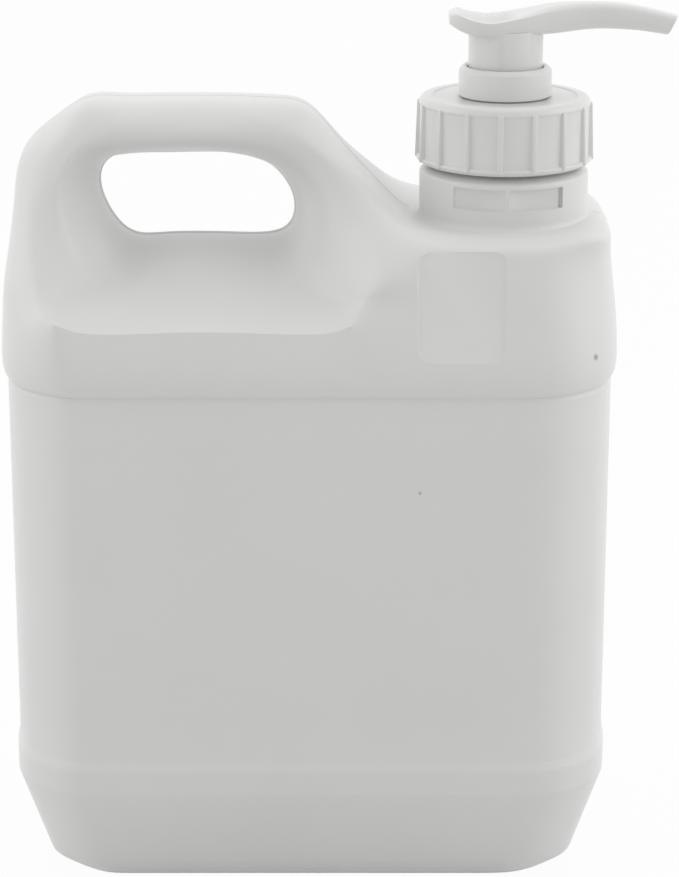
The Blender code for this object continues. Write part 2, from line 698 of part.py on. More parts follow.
def rounded_box_mesh(width, depth, height, corner, steps=4):
    """A box with its four edges along Y rounded, centred on the origin."""
    outline = []
    for turn, (side, up) in enumerate(((1, 1), (-1, 1), (-1, -1), (1, -1))):
        centre_x = side * (0.5 * width - corner)
        centre_z = up * (0.5 * height - corner)
        for n in range(steps + 1):
            angle = 0.5 * math.pi * (turn + n / steps)
            x = centre_x + corner * math.cos(angle)
            z = centre_z + corner * math.sin(angle)
            outline.append((x, z))
    return lofted_mesh([[(x, y, z) for x, z in outline] for y in (-0.5 * depth, 0.5 * depth)])


def press_panel(jug, material):
    """The shallow frame on the leaning face, below the neck."""
    depth = 0.0200
    frame = rounded_box_mesh(PANEL_WIDTH, depth, PANEL_HEIGHT, PANEL_CORNER)
    cutter = new_object("jug_panel", frame, material)
    drop = face_depth(BAND_HEIGHT) - face_depth(PLATFORM_HEIGHT)
    lean = math.atan2(drop, PLATFORM_HEIGHT - BAND_HEIGHT)
    reach = 0.5 * depth - PANEL_DEPTH
    cutter.rotation_euler = (-lean, 0.0, 0.0)
    cutter.location = (
        PANEL_CENTRE_X,
        -face_depth(PANEL_CENTRE_Z) - reach * math.cos(lean),
        PANEL_CENTRE_Z + reach * math.sin(lean),
    )
    add_boolean(jug, cutter, "DIFFERENCE")


def make_jug(material):
    jug = new_object("jug_shell", jug_skin_mesh(), material, 50.0)
    smooth = jug.modifiers.new("Smooth", "SUBSURF")
    smooth.levels = 1
    smooth.render_levels = 1
    press_panel(jug, material)
    wall = jug.modifiers.new("Wall", "SOLIDIFY")
    wall.thickness = JUG_WALL
    wall.offset = -1.0
    neck = new_object("jug_neck", turned_mesh(neck_profile(), ROUND_FINE), material)
    neck.location = (NECK_X, 0.0, 0.0)
    add_boolean(jug, neck, "UNION")
    bore_length = NECK_LENGTH + NECK_SUNK + 0.0060
    bore = bmesh.new()
    bmesh.ops.create_cone(
        bore,
        cap_ends=True,
        segments=ROUND_FINE,
        radius1=NECK_BORE_RADIUS,
        radius2=NECK_BORE_RADIUS,
        depth=bore_length,
    )
    bore_cutter = new_object("jug_bore", bore, material)
    bore_cutter.location = (NECK_X, 0.0, neck_rim + 0.0020 - 0.5 * bore_length)
    add_boolean(jug, bore_cutter, "DIFFERENCE")
    return jug


def cut_neck_flats(jug, material):
    """Two flat-bottomed notches in the neck ring, and two more at the back."""
    for turn in (0.0, 180.0):
        for angle in FLAT_ANGLES:
            notch = rounded_box_mesh(FLAT_WIDTH, FLAT_WIDTH, FLAT_HEIGHT, 0.0003, 1)
            name = f"jug_flat_{turn + angle:.0f}"
            cutter = new_object(name, notch, material)
            heading = math.radians(turn + angle)
            reach = FLAT_REACH + 0.5 * FLAT_WIDTH
            cutter.rotation_euler = (0.0, 0.0, heading)
            cutter.location = (
                NECK_X + reach * math.sin(heading),
                -reach * math.cos(heading),
                FLAT_BOTTOM + 0.5 * FLAT_HEIGHT,
            )
            add_boolean(jug, cutter, "DIFFERENCE")


def make_gasket(material):
    profile = [
        (FLANGE_RADIUS - 0.0004, gasket_bottom + GASKET_THICKNESS),
        (FLANGE_RADIUS - 0.0004, gasket_bottom),
        (NECK_BORE_RADIUS + 0.0004, gasket_bottom),
        (NECK_BORE_RADIUS + 0.0004, gasket_bottom + GASKET_THICKNESS),
    ]
    return turned("neck_gasket", profile, ROUND_MIDDLE, material, gasket_bottom)


def make_housing(material):
    """Flange, collar socket, chamber, ball seat and tube socket in one."""
    upper = HOUSING_BORE_RADIUS + HOUSING_WALL
    lower = CHAMBER_RADIUS + HOUSING_WALL
    socket = socket_radius + HOUSING_WALL
    bowl_rise = ball_bowl_radius - BALL_SEAT_RADIUS
    profile = [
        (HOUSING_BORE_RADIUS, flange_top),
        (FLANGE_RADIUS, flange_top),
        (FLANGE_RADIUS, flange_bottom),
        (upper, flange_bottom),
        (upper, chamber_top + 0.0010),
        (lower, chamber_top - 0.0010),
        (lower, chamber_bottom - 0.0010),
        (socket, seat_bottom),
        (socket, socket_bottom),
        (socket_radius, socket_bottom),
        (socket_radius, seat_bottom - 0.0012),
        (BALL_SEAT_RADIUS, seat_bottom - 0.0012),
        (BALL_SEAT_RADIUS, seat_bottom),
        (ball_bowl_radius, seat_bottom + bowl_rise),
        (ball_bowl_radius, chamber_bottom - 2.0 * BALL_CAGE_LIP),
        (BALL_CAGE_RADIUS, chamber_bottom - BALL_CAGE_LIP),
        (BALL_CAGE_RADIUS, chamber_bottom),
        (CHAMBER_RADIUS, chamber_bottom),
        (CHAMBER_RADIUS, chamber_top),
        (HOUSING_BORE_RADIUS, chamber_top + 0.0014),
    ]
    return turned("pump_housing", profile, ROUND_COARSE, material, flange_bottom)


def make_ball(name, radius, height, material):
    mesh = bmesh.new()
    bmesh.ops.create_uvsphere(mesh, u_segments=12, v_segments=7, radius=radius)
    ball = new_object(name, mesh, material, 80.0)
    ball.location = (NECK_X, 0.0, height)
    return ball


def make_dip_tube(material):
    top = seat_bottom - 0.0012 - SEAT_GAP
    bottom = JUG_WALL + TUBE_FLOOR_GAP
    bore = TUBE_RADIUS - TUBE_WALL
    profile = [
        (bore, top),
        (TUBE_RADIUS, top),
        (TUBE_RADIUS, bottom),
        (bore, bottom),
    ]
    return turned("dip_tube", profile, ROUND_COARSE, material, bottom)


def cap_levels():
    """(height, radius, has ribs) down the outside of the closure."""
    band = CAP_PANEL_RADIUS + CAP_RIB_PROUD
    rib_top = cap_top - CAP_RIM_HEIGHT
    rib_bottom = rib_top - CAP_RIB_LENGTH
    levels = []
    for n in range(4):
        angle = 0.5 * math.pi * n / 3.0
        radius = CAP_PANEL_RADIUS - CAP_RIM_ROUND * (1.0 - math.sin(angle))
        height = cap_top - CAP_RIM_ROUND * (1.0 - math.cos(angle))
        levels.append((height, radius, False))
    levels.append((rib_top, CAP_PANEL_RADIUS, False))
    levels.append((rib_top - 0.0004, CAP_PANEL_RADIUS, True))
    levels.append((rib_bottom + 0.0002, CAP_PANEL_RADIUS, True))
    levels.append((rib_bottom, band, False))
    levels.append((cap_bottom + CAP_CHAMFER, band + 0.0002, False))
    levels.append((cap_bottom, band + 0.0002 - CAP_CHAMFER, False))
    return levels


def cap_mesh():
    """Rings with the same corners at every height, so ribs run into plain bands."""
    pitch = 2.0 * math.pi / CAP_RIB_COUNT
    half_rib = 0.5 * CAP_RIB_WIDTH / CAP_PANEL_RADIUS
    corners = (
        (-half_rib, 0.0),
        (-0.7 * half_rib, 1.0),
        (0.7 * half_rib, 1.0),
        (half_rib, 0.0),
        (0.5 * pitch, 0.0),
    )
    start = math.radians(CAP_RIB_PHASE) - 0.5 * math.pi
    rings = []

    def ring(height, radius, rib):
        points = []
        for n in range(CAP_RIB_COUNT):
            for angle, proud in corners:
                turn = start + n * pitch + angle
                reach = radius + (CAP_RIB_PROUD * proud if rib else 0.0)
                points.append((reach * math.cos(turn), reach * math.sin(turn), height))
        return points

    inner = CAP_PANEL_RADIUS - CAP_WALL
    rings.append(ring(cap_recess, cap_hole_radius, False))
    rings.append(ring(cap_recess, CAP_RECESS_RADIUS - 0.0003, False))
    rings.append(ring(cap_top, CAP_RECESS_RADIUS, False))
    for height, radius, rib in cap_levels():
        rings.append(ring(height, radius, rib))
    rings.append(ring(cap_bottom, inner, False))
    rings.append(ring(cap_underside, inner, False))
    rings.append(ring(cap_underside, cap_hole_radius, False))
    mesh = bmesh.new()
    loops = [[mesh.verts.new(point) for point in points] for points in rings]
    count = len(loops[0])
    for n, high in enumerate(loops):
        low = loops[(n + 1) % len(loops)]
        for a in range(count):
            b = (a + 1) % count
            mesh.faces.new((high[a], low[a], low[b], high[b]))
    bmesh.ops.recalc_face_normals(mesh, faces=mesh.faces)
    return mesh


def make_cap(material):
    cap = new_object("screw_cap", cap_mesh(), material, 40.0)
    cap.location = (NECK_X, 0.0, 0.0)
    return cap


def make_collar(material):
    plug_outer = HOUSING_BORE_RADIUS - SLIDE_GAP
    plug_inner = plug_outer - COLLAR_PLUG_WALL
    stem_hole = STEM_RADIUS + TURN_GAP
    plug_bottom = collar_floor_bottom - COLLAR_PLUG_LENGTH
    mouth = COLLAR_RADIUS - COLLAR_CHAMFER
    profile = [
        (cup_radius, collar_top - 0.0002),
        (mouth, collar_top),
        (COLLAR_RADIUS, collar_top - COLLAR_CHAMFER),
        (COLLAR_RADIUS, collar_bottom),
        (cup_outer_radius, collar_bottom),
        (cup_outer_radius, collar_floor_bottom),
        (plug_outer, collar_floor_bottom),
        (plug_outer, plug_bottom),
        (plug_inner, plug_bottom),
        (plug_inner, collar_floor_bottom),
        (stem_hole, collar_floor_bottom),
        (stem_hole, collar_floor_top),
        (cup_radius, collar_floor_top),
    ]
    return turned("lock_collar", profile, ROUND_MIDDLE, material, collar_bottom)


def make_stem(material):
    profile = [
        (pocket_radius, STEM_TOP),
        (STEM_RADIUS, STEM_TOP),
        (STEM_RADIUS, stem_bottom),
        (PLUG_SPIGOT_RADIUS + SLIDE_GAP, stem_bottom),
        (PLUG_SPIGOT_RADIUS + SLIDE_GAP, stem_bottom + PLUG_SPIGOT_LENGTH + SEAT_GAP),
        (STEM_BORE_RADIUS, stem_bottom + PLUG_SPIGOT_LENGTH + 0.0012),
        (STEM_BORE_RADIUS, pocket_floor - 0.0010),
        (STEM_SEAT_RADIUS, pocket_floor - 0.0006),
        (STEM_SEAT_RADIUS, pocket_floor),
        (pocket_radius, pocket_floor + pocket_radius - STEM_SEAT_RADIUS),
    ]
    return turned("pump_stem", profile, ROUND_COARSE, material, stem_bottom)


def make_piston(material):
    """Seal on the stem's foot, with a lip at each end against the chamber."""
    lip = CHAMBER_RADIUS - SLIDE_GAP
    waist = lip - 0.0007
    bore = STEM_RADIUS + SLIDE_GAP
    low = piston_bottom
    high = piston_bottom + PISTON_LENGTH
    profile = [
        (lip - 0.0006, high),
        (lip, high),
        (lip, high - 0.0008),
        (waist, high - 0.0018),
        (waist, low + 0.0018),
        (lip, low + 0.0008),
        (lip, low),
        (lip - 0.0006, low),
        (lip - 0.0010, low + 0.0020),
        (bore, low + 0.0020),
        (bore, high - 0.0020),
        (lip - 0.0010, high - 0.0020),
    ]
    return turned("piston", profile, ROUND_COARSE, material, low)


def make_stem_plug(material):
    flange_high = stem_bottom - SEAT_GAP
    flange_low = flange_high - PLUG_FLANGE_THICKNESS
    spigot_top = stem_bottom + PLUG_SPIGOT_LENGTH
    profile = [
        (PLUG_BORE_RADIUS, spigot_top),
        (PLUG_SPIGOT_RADIUS - 0.0003, spigot_top),
        (PLUG_SPIGOT_RADIUS, spigot_top - 0.0006),
        (PLUG_SPIGOT_RADIUS, flange_high),
        (PLUG_FLANGE_RADIUS, flange_high),
        (PLUG_FLANGE_RADIUS, flange_low),
        (PLUG_BORE_RADIUS, flange_low),
    ]
    return turned("stem_plug", profile, ROUND_COARSE, material, flange_low)


def make_spring(material):
    """Coil from the chamber's floor up to the stem plug's flange."""
    per_turn = 10
    sides = 5
    low = spring_bottom + SPRING_WIRE_RADIUS
    high = spring_top - SPRING_WIRE_RADIUS
    count = SPRING_TURNS * per_turn
    sections = []
    for n in range(count + 1):
        share = n / count
        turn = 2.0 * math.pi * SPRING_TURNS * share
        height = low + share * (high - low)
        outward = Vector((math.cos(turn), math.sin(turn), 0.0))
        section = []
        for m in range(sides):
            angle = 2.0 * math.pi * m / sides
            reach = SPRING_RADIUS + SPRING_WIRE_RADIUS * math.cos(angle)
            lift = SPRING_WIRE_RADIUS * math.sin(angle)
            section.append(outward * reach + Vector((0.0, 0.0, height + lift - low)))
        sections.append(section)
    spring = new_object("return_spring", lofted_mesh(sections), material, 60.0)
    spring.location = (NECK_X, 0.0, low)
    return spring


def spout_section(x, lean=0.0):
    """Ring across the head at x: a soft-cornered bar whose top may be dished."""
    top = spline(x, spout_tops())
    bottom = spline(x, spout_bottoms())
    half = spline(x, spout_half_widths())
    dish = spline(x, thumb_dishes())
    height = top - bottom
    corner = min(0.28 * height, 0.5 * half)
    ring = []
    across = (-1.0, -0.75, -0.35, 0.0, 0.35, 0.75, 1.0)
    for share in across:
        edge = abs(share) ** 4
        z = top - dish * (1.0 - share * share) - corner * 0.55 * edge
        ring.append((share * (half - 0.15 * corner), z))
    ring.append((half, top - corner))
    ring.append((half, bottom + corner))
    for share in reversed(across):
        z = bottom + corner * 0.55 * abs(share) ** 4
        ring.append((share * (half - 0.25 * corner), z))
    ring.append((-half, bottom + corner))
    ring.append((-half, top - corner))
    middle = 0.5 * (top + bottom)
    return [(x - lean * (z - middle), y, z) for y, z in ring]


def spout_tops():
    rise = HEAD_UNDERSIDE
    return (
        (HEAD_LEFT, rise + 0.0052),
        (HEAD_LEFT + 0.0012, rise + 0.0060),
        (HEAD_LEFT + 0.0050, rise + 0.0058),
        (NECK_X - 0.0060, rise + 0.0055),
        (NECK_X + 0.0010, rise + 0.0062),
        (NECK_X + 0.0108, rise + 0.0073),
        (NECK_X + 0.0208, rise + 0.0078),
        (NECK_X + 0.0320, rise + 0.0070),
        (SPOUT_TIP_X, rise + 0.0046),
    )


def spout_bottoms():
    rise = HEAD_UNDERSIDE
    return (
        (HEAD_LEFT, rise + 0.0026),
        (HEAD_LEFT + 0.0012, rise + 0.0018),
        (HEAD_LEFT + 0.0050, rise + 0.0002),
        (NECK_X - 0.0060, rise),
        (NECK_X + 0.0060, rise),
        (NECK_X + 0.0108, rise + 0.0002),
        (NECK_X + 0.0234, rise + 0.0013),
        (NECK_X + 0.0310, rise + 0.0010),
        (SPOUT_TIP_X, rise - 0.0002),
    )


def spout_half_widths():
    return (
        (HEAD_LEFT, 0.45 * HEAD_HALF_WIDTH),
        (HEAD_LEFT + 0.0012, 0.62 * HEAD_HALF_WIDTH),
        (HEAD_LEFT + 0.0050, 0.90 * HEAD_HALF_WIDTH),
        (NECK_X - 0.0030, HEAD_HALF_WIDTH),
        (NECK_X + 0.0040, 0.86 * HEAD_HALF_WIDTH),
        (NECK_X + 0.0108, 0.62 * HEAD_HALF_WIDTH),
        (NECK_X + 0.0200, 1.10 * SPOUT_HALF_WIDTH),
        (NECK_X + 0.0300, SPOUT_HALF_WIDTH),
        (SPOUT_TIP_X, 0.90 * SPOUT_HALF_WIDTH),
    )


def thumb_dishes():
    return (
        (HEAD_LEFT, 0.0),
        (HEAD_LEFT + 0.0012, 0.0004),
        (HEAD_LEFT + 0.0050, 0.70 * THUMB_DISH),
        (NECK_X - 0.0050, THUMB_DISH),
        (NECK_X + 0.0020, 0.70 * THUMB_DISH),
        (NECK_X + 0.0100, 0.12 * THUMB_DISH),
        (NECK_X + 0.0180, 0.0),
        (SPOUT_TIP_X, 0.0),
    )


def make_head(material):
    """Thumb rest and spout, with a skirt and a stem socket under them."""
    count = 22
    sections = []
    for n in range(count + 1):
        share = n / count
        x = HEAD_LEFT + share * (SPOUT_TIP_X - HEAD_LEFT)
        if n == 1:
            x = HEAD_LEFT + 0.0012
        lean = (SPOUT_CUT / 0.0042) * max(0.0, (share - 0.86) / 0.14)
        sections.append([(px - NECK_X, y, z) for px, y, z in spout_section(x, -lean)])
    head = new_object("actuator_head", lofted_mesh(sections), material, 40.0)
    head.location = (NECK_X, 0.0, 0.0)
    roof = HEAD_UNDERSIDE + 0.0012
    socket_outer = STEM_RADIUS + SLIDE_GAP + SOCKET_WALL
    skirt = turned_mesh(
        [
            (SKIRT_RADIUS, roof),
            (SKIRT_RADIUS, skirt_bottom),
            (SKIRT_RADIUS - SKIRT_WALL, skirt_bottom),
            (SKIRT_RADIUS - SKIRT_WALL, HEAD_UNDERSIDE - 0.0006),
            (socket_outer, HEAD_UNDERSIDE - 0.0006),
            (socket_outer, skirt_bottom + SKIRT_ENTRY),
            (STEM_RADIUS + SLIDE_GAP, skirt_bottom + SKIRT_ENTRY),
            (STEM_RADIUS + SLIDE_GAP, STEM_TOP + SLIDE_GAP),
            (CHANNEL_RADIUS + 0.0002, STEM_TOP + SLIDE_GAP),
            (CHANNEL_RADIUS + 0.0002, roof),
        ],
        ROUND_MIDDLE,
    )
    skirt_piece = new_object("head_skirt", skirt, material)
    skirt_piece.location = (NECK_X, 0.0, 0.0)
    add_boolean(head, skirt_piece, "UNION")
    add_boolean(head, channel_cutter(material), "DIFFERENCE")
    return head


def channel_cutter(material):
    """Flow channel: up from the stem, then along the spout and out of its tip."""
    route = [
        (0.0, STEM_TOP - 0.0010),
        (0.0, HEAD_UNDERSIDE + 0.0008),
        (0.0009, HEAD_UNDERSIDE + 0.0022),
        (0.0030, HEAD_UNDERSIDE + 0.0031),
        (0.0108, HEAD_UNDERSIDE + 0.0036),
        (0.0208, HEAD_UNDERSIDE + 0.0043),
        (0.0300, HEAD_UNDERSIDE + 0.0038),
        (SPOUT_TIP_X - NECK_X - 0.0020, HEAD_UNDERSIDE + 0.0024),
        (SPOUT_TIP_X - NECK_X + 0.0030, HEAD_UNDERSIDE + 0.0013),
    ]
    sides = 10
    sections = []
    for n, (x, z) in enumerate(route):
        before = route[max(n - 1, 0)]
        after = route[min(n + 1, len(route) - 1)]
        along = Vector((after[0] - before[0], 0.0, after[1] - before[1])).normalized()
        upward = along.cross(Vector((0.0, 1.0, 0.0)))
        section = []
        for m in range(sides):
            angle = 2.0 * math.pi * m / sides
            offset = upward * math.cos(angle) + Vector((0.0, 1.0, 0.0)) * math.sin(angle)
            section.append(Vector((x, 0.0, z)) + CHANNEL_RADIUS * offset)
        sections.append(section)
    cutter = new_object("head_channel", lofted_mesh(sections), material)
    cutter.location = (NECK_X, 0.0, 0.0)
    return cutter


def clear_scene():
    for piece in list(bpy.data.objects):
        bpy.data.objects.remove(piece, do_unlink=True)


def main():
    clear_scene()
    shell = new_material("natural white polyethylene", (0.80, 0.80, 0.80), 0.38)
    moulded = new_material("white polypropylene", (0.78, 0.78, 0.78), 0.30)
    soft = new_material("soft sealing foam", (0.70, 0.70, 0.68), 0.70)
    clear = new_material("milky tube", (0.74, 0.76, 0.76), 0.25)
    steel = new_material("stainless steel", (0.55, 0.55, 0.56), 0.25, 1.0)
    jug = make_jug(shell)
    cut_neck_flats(jug, shell)
    make_gasket(soft)
    make_housing(moulded)
    make_dip_tube(clear)
    make_ball("inlet_ball", INLET_BALL_RADIUS, inlet_ball_height, steel)
    make_cap(moulded)
    make_collar(moulded)
    make_stem(moulded)
    make_piston(clear)
    make_stem_plug(moulded)
    make_spring(steel)
    make_ball("outlet_ball", OUTLET_BALL_RADIUS, outlet_ball_height, steel)
    make_head(moulded)


main()
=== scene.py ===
"""Looks of the shampoo dispenser jug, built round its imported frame."""
import json
import math

import bmesh
import bpy
import numpy as np
from mathutils import Matrix, Vector


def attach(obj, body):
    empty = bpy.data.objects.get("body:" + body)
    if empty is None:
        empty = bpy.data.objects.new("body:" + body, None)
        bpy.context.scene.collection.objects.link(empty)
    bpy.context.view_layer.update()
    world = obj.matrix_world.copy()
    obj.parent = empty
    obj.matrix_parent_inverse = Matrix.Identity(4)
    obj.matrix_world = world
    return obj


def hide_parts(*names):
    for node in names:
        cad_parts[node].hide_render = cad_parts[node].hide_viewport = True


bl_info = {
    "name": "Shampoo Dispenser Jug",
    "version": (1, 0, 0),
    "blender": (4, 5, 0),
    "location": "3D View > Sidebar > Jug",
    "description": "Builds a blow-moulded dispenser jug with its pump and closure",
    "category": "Object",
}

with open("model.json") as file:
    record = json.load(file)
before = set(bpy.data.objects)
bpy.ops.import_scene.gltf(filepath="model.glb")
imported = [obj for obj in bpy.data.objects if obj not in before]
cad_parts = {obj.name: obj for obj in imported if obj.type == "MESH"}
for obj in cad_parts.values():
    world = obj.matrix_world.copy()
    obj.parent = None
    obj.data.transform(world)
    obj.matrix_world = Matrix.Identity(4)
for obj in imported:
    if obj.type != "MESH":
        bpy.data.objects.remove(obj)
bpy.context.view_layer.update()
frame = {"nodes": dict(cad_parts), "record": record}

# Jug body, as half sizes of its rectangular plan
BASE_HALF_WIDTH = 0.0695
BASE_HALF_DEPTH = 0.0374
BASE_CHAMFER = 0.0142
BASE_EDGE = 0.0024
BODY_HALF_WIDTH = 0.0762
BODY_HALF_DEPTH = 0.0424
CORNER_CHAMFER = 0.0155
CORNER_BULGE = 0.0012
CORNER_EASE = 0.0012
RIDGE_LOW = 0.0252
RIDGE_HIGH = 0.0318
RIDGE_PROUD = 0.0007
RIDGE_EASE = 0.0001
RIDGE_FADE = 3.5 * RIDGE_PROUD
WAIST_TOP = 0.1290
GROOVE_DEPTH = 0.0005
BAND_HEIGHT = 0.1375
BAND_PROUD = 0.0013
BAND_EASE = 0.0004
BAND_FOOT = WAIST_TOP + 0.4 * (BAND_HEIGHT - WAIST_TOP)
JUG_WALL = 0.0012

# Shelf below the handle, and the platform that carries the neck
SHELF_HEIGHT = 0.1464
SHELF_LEFT = -0.0560
SHELF_RIGHT = 0.0050
SHELF_TURN_UP = 0.0016
PLATFORM_HEIGHT = 0.1663
PLATFORM_HALF_DEPTH = 0.0345
PLATFORM_ROUND = 0.0040

# Handle: outline seen from the front, and its half depths
HANDLE_TOP = 0.1971
HANDLE_LEFT = -0.0744
HANDLE_HALF_DEPTH = 0.0140
HANDLE_SHOULDER = 0.1836
HANDLE_CORNER = -0.0560
SLOPE_TOP_X = -0.0080
SLOPE_ROUND = 0.0058
SLOPE_FOOT_X = 0.0250
HOLE_BOTTOM = 0.1626
HOLE_TOP = 0.1830
HOLE_LEFT = -0.0530
HOLE_RIGHT = -0.0038
FUNNEL_MIDDLE = 0.0105
FUNNEL_FACE = 0.0225

# Panel pressed into the front's wall, and the depth of its cutter
PANEL_CENTRE_X = 0.0373
PANEL_CENTRE_Z = 0.1526
PANEL_WIDTH = 0.0221
PANEL_HEIGHT = 0.0282
PANEL_CORNER = 0.0040
PANEL_DEPTH = 0.00045
PANEL_RIM = 0.0010
PANEL_CUTTER = 0.0200

# Neck, with the bore through it, and the flats and slots cut round it
NECK_X = 0.0490
NECK_BORE_RADIUS = 0.0156
NECK_ROOT_RADIUS = 0.0176
NECK_RING_RADIUS = 0.0213
NECK_RING_TOP = 0.1784
NECK_LEDGE_RISE = 0.0020
NECK_LENGTH = 0.0260
NECK_SUNK = 0.0026
NECK_FLARE = 0.0024
NECK_COLUMN_X = NECK_X + 0.0020
BORE_BELOW = 0.0060
BORE_ABOVE = 0.0020
NECK_LIP = 0.0004
NECK_JOIN = 0.0010
NECK_ROUND = 0.0009
FLAT_REACH = 0.0199
FLAT_WIDTH = 0.0134
FLAT_BOTTOM = 0.1719
FLAT_HEIGHT = 0.0054
FLAT_ANGLES = (-20.2, 19.0)
SLOT_ANGLE = 38.9
SLOT_WIDTH = 0.0013
FLAT_CORNER = 0.0005
FLAT_RIM = 0.0001

# Clearances
SEAT_GAP = 0.0003
SLIDE_GAP = 0.0002
TURN_GAP = 0.0003

# Screw closure; its rib's crown is a share of the rib's width
CAP_RIB_COUNT = 16
CAP_RIB_PHASE = -5.6
CAP_RIB_WIDTH = 0.0018
CAP_PANEL_RADIUS = 0.0213
CAP_RIB_PROUD = 0.0007
CAP_RIB_FOOT = 0.0005
CAP_RIB_CROWN = 0.62
CAP_RIB_JOIN = 0.0004
CAP_RIB_ROUND = 0.00022
CAP_BAND_HEIGHT = 0.0018
CAP_RIB_LENGTH = 0.0132
CAP_RIM_HEIGHT = 0.0020
CAP_RIM_ROUND = 0.0016
CAP_ROUND = 0.0004
CAP_FOOT_CHAMFER = (0.0013, 0.0011)
CAP_DRAFT = 0.0002
CAP_EASE = 0.0003
CAP_RECESS_RADIUS = 0.0181
CAP_RECESS_DEPTH = 0.0004
CAP_TOP_THICKNESS = 0.0017
CAP_WALL = 0.0016

# Locking collar
COLLAR_RADIUS = 0.01165
COLLAR_HEIGHT = 0.0075
COLLAR_CHAMFER = 0.0011
COLLAR_WALL = 0.0009
COLLAR_FLOOR = 0.0010
COLLAR_PLUG_LENGTH = 0.0060
COLLAR_PLUG_WALL = 0.0011
COLLAR_ROUND = 0.00035
STROKE = 0.0072

# Head, from the stem that it sits on to the roof over its skirt
STEM_RADIUS = 0.0040
SKIRT_RADIUS = 0.0093
SKIRT_WALL = 0.0013
SKIRT_ENTRY = 0.0012
SKIRT_CEILING = 0.0006
SKIRT_ROUND = 0.0002
SOCKET_WALL = 0.0013
HEAD_UNDERSIDE = 0.2128
HEAD_ROOF = 0.0012
STEM_TOP = 0.2118
HOUSING_BORE_RADIUS = 0.0083

# Spout, its slanting tip, and the ridges of the thumb dish
HEAD_LEFT = 0.0348
HEAD_HALF_WIDTH = 0.0095
SPOUT_HALF_WIDTH = 0.0034
SPOUT_TIP_X = 0.0903
SPOUT_CUT = 0.0021
SPOUT_TIP_HEIGHT = 0.0042
CUT_START = 0.86
THUMB_DISH = 0.0012
GRIP_PITCH = 0.0013
GRIP_CENTRE = (NECK_X + 0.0060, 0.0070)
GRIP_MARGIN = 0.0012
CHANNEL_RADIUS = 0.0014
CHANNEL_EASE = 0.0002

# Heights of the closed pump, from the neck's rim upwards
GASKET_THICKNESS = 0.0010
FLANGE_THICKNESS = 0.0012
NECK_RIM = PLATFORM_HEIGHT + NECK_LENGTH
FLANGE_TOP = NECK_RIM + 2.0 * SEAT_GAP + GASKET_THICKNESS + FLANGE_THICKNESS
CAP_UNDERSIDE = FLANGE_TOP + SEAT_GAP
CAP_RECESS = CAP_UNDERSIDE + CAP_TOP_THICKNESS
CAP_TOP = CAP_RECESS + CAP_RECESS_DEPTH
CAP_BOTTOM = CAP_TOP - CAP_RIM_HEIGHT - CAP_RIB_LENGTH - CAP_BAND_HEIGHT
COLLAR_BOTTOM = CAP_RECESS + SEAT_GAP
COLLAR_TOP = COLLAR_BOTTOM + COLLAR_HEIGHT
COLLAR_FLOOR_BOTTOM = FLANGE_TOP + SEAT_GAP
COLLAR_FLOOR_TOP = COLLAR_FLOOR_BOTTOM + COLLAR_FLOOR
SKIRT_BOTTOM = COLLAR_FLOOR_TOP + SEAT_GAP + STROKE
CUP_RADIUS = SKIRT_RADIUS + TURN_GAP
CUP_OUTER_RADIUS = CUP_RADIUS + COLLAR_WALL
CAP_HOLE_RADIUS = CUP_OUTER_RADIUS + TURN_GAP
PLUG_OUTER = HOUSING_BORE_RADIUS - SLIDE_GAP
PLUG_INNER = PLUG_OUTER - COLLAR_PLUG_WALL
PLUG_BOTTOM = COLLAR_FLOOR_BOTTOM - COLLAR_PLUG_LENGTH
STEM_HOLE = STEM_RADIUS + TURN_GAP

# Facets of the turned pieces, and rings and points of the spout
NECK_STEPS = 96
CAP_STEPS = 96
SPOUT_RINGS = 240
SPOUT_ACROSS = 61

# Thread on the neck; it fades in and out over a few steps
THREAD_TURNS = 1.6
THREAD_STEPS = 96
THREAD_FADE = 10.0
THREAD_START = 0.0034
THREAD_HEIGHT = 0.0011
THREAD_FOOT = 0.0011
THREAD_CREST = 0.0004
THREAD_SUNK = 0.0003
THREAD_SHOWN = 0.0001

# Stations along the head: (X, height over its underside), and (X, size)
SPOUT_TOPS = (
    (HEAD_LEFT, 0.0052),
    (HEAD_LEFT + 0.0012, 0.0060),
    (HEAD_LEFT + 0.0050, 0.0052),
    (NECK_X - 0.0050, 0.0044),
    (NECK_X + 0.0020, 0.0054),
    (NECK_X + 0.0108, 0.0072),
    (NECK_X + 0.0208, 0.0078),
    (NECK_X + 0.0320, 0.0070),
    (SPOUT_TIP_X, 0.0046),
)
SPOUT_BOTTOMS = (
    (HEAD_LEFT, 0.0026),
    (HEAD_LEFT + 0.0012, 0.0018),
    (HEAD_LEFT + 0.0050, 0.0002),
    (NECK_X - 0.0060, 0.0),
    (NECK_X + 0.0060, 0.0),
    (NECK_X + 0.0108, 0.0002),
    (NECK_X + 0.0234, 0.0013),
    (NECK_X + 0.0310, 0.0010),
    (SPOUT_TIP_X, -0.0002),
)
SPOUT_HALF_WIDTHS = (
    (HEAD_LEFT, 0.45 * HEAD_HALF_WIDTH),
    (HEAD_LEFT + 0.0012, 0.62 * HEAD_HALF_WIDTH),
    (HEAD_LEFT + 0.0050, 0.90 * HEAD_HALF_WIDTH),
    (NECK_X - 0.0030, HEAD_HALF_WIDTH),
    (NECK_X + 0.0040, 0.86 * HEAD_HALF_WIDTH),
    (NECK_X + 0.0108, 0.62 * HEAD_HALF_WIDTH),
    (NECK_X + 0.0200, 1.10 * SPOUT_HALF_WIDTH),
    (NECK_X + 0.0300, SPOUT_HALF_WIDTH),
    (SPOUT_TIP_X, 0.90 * SPOUT_HALF_WIDTH),
)
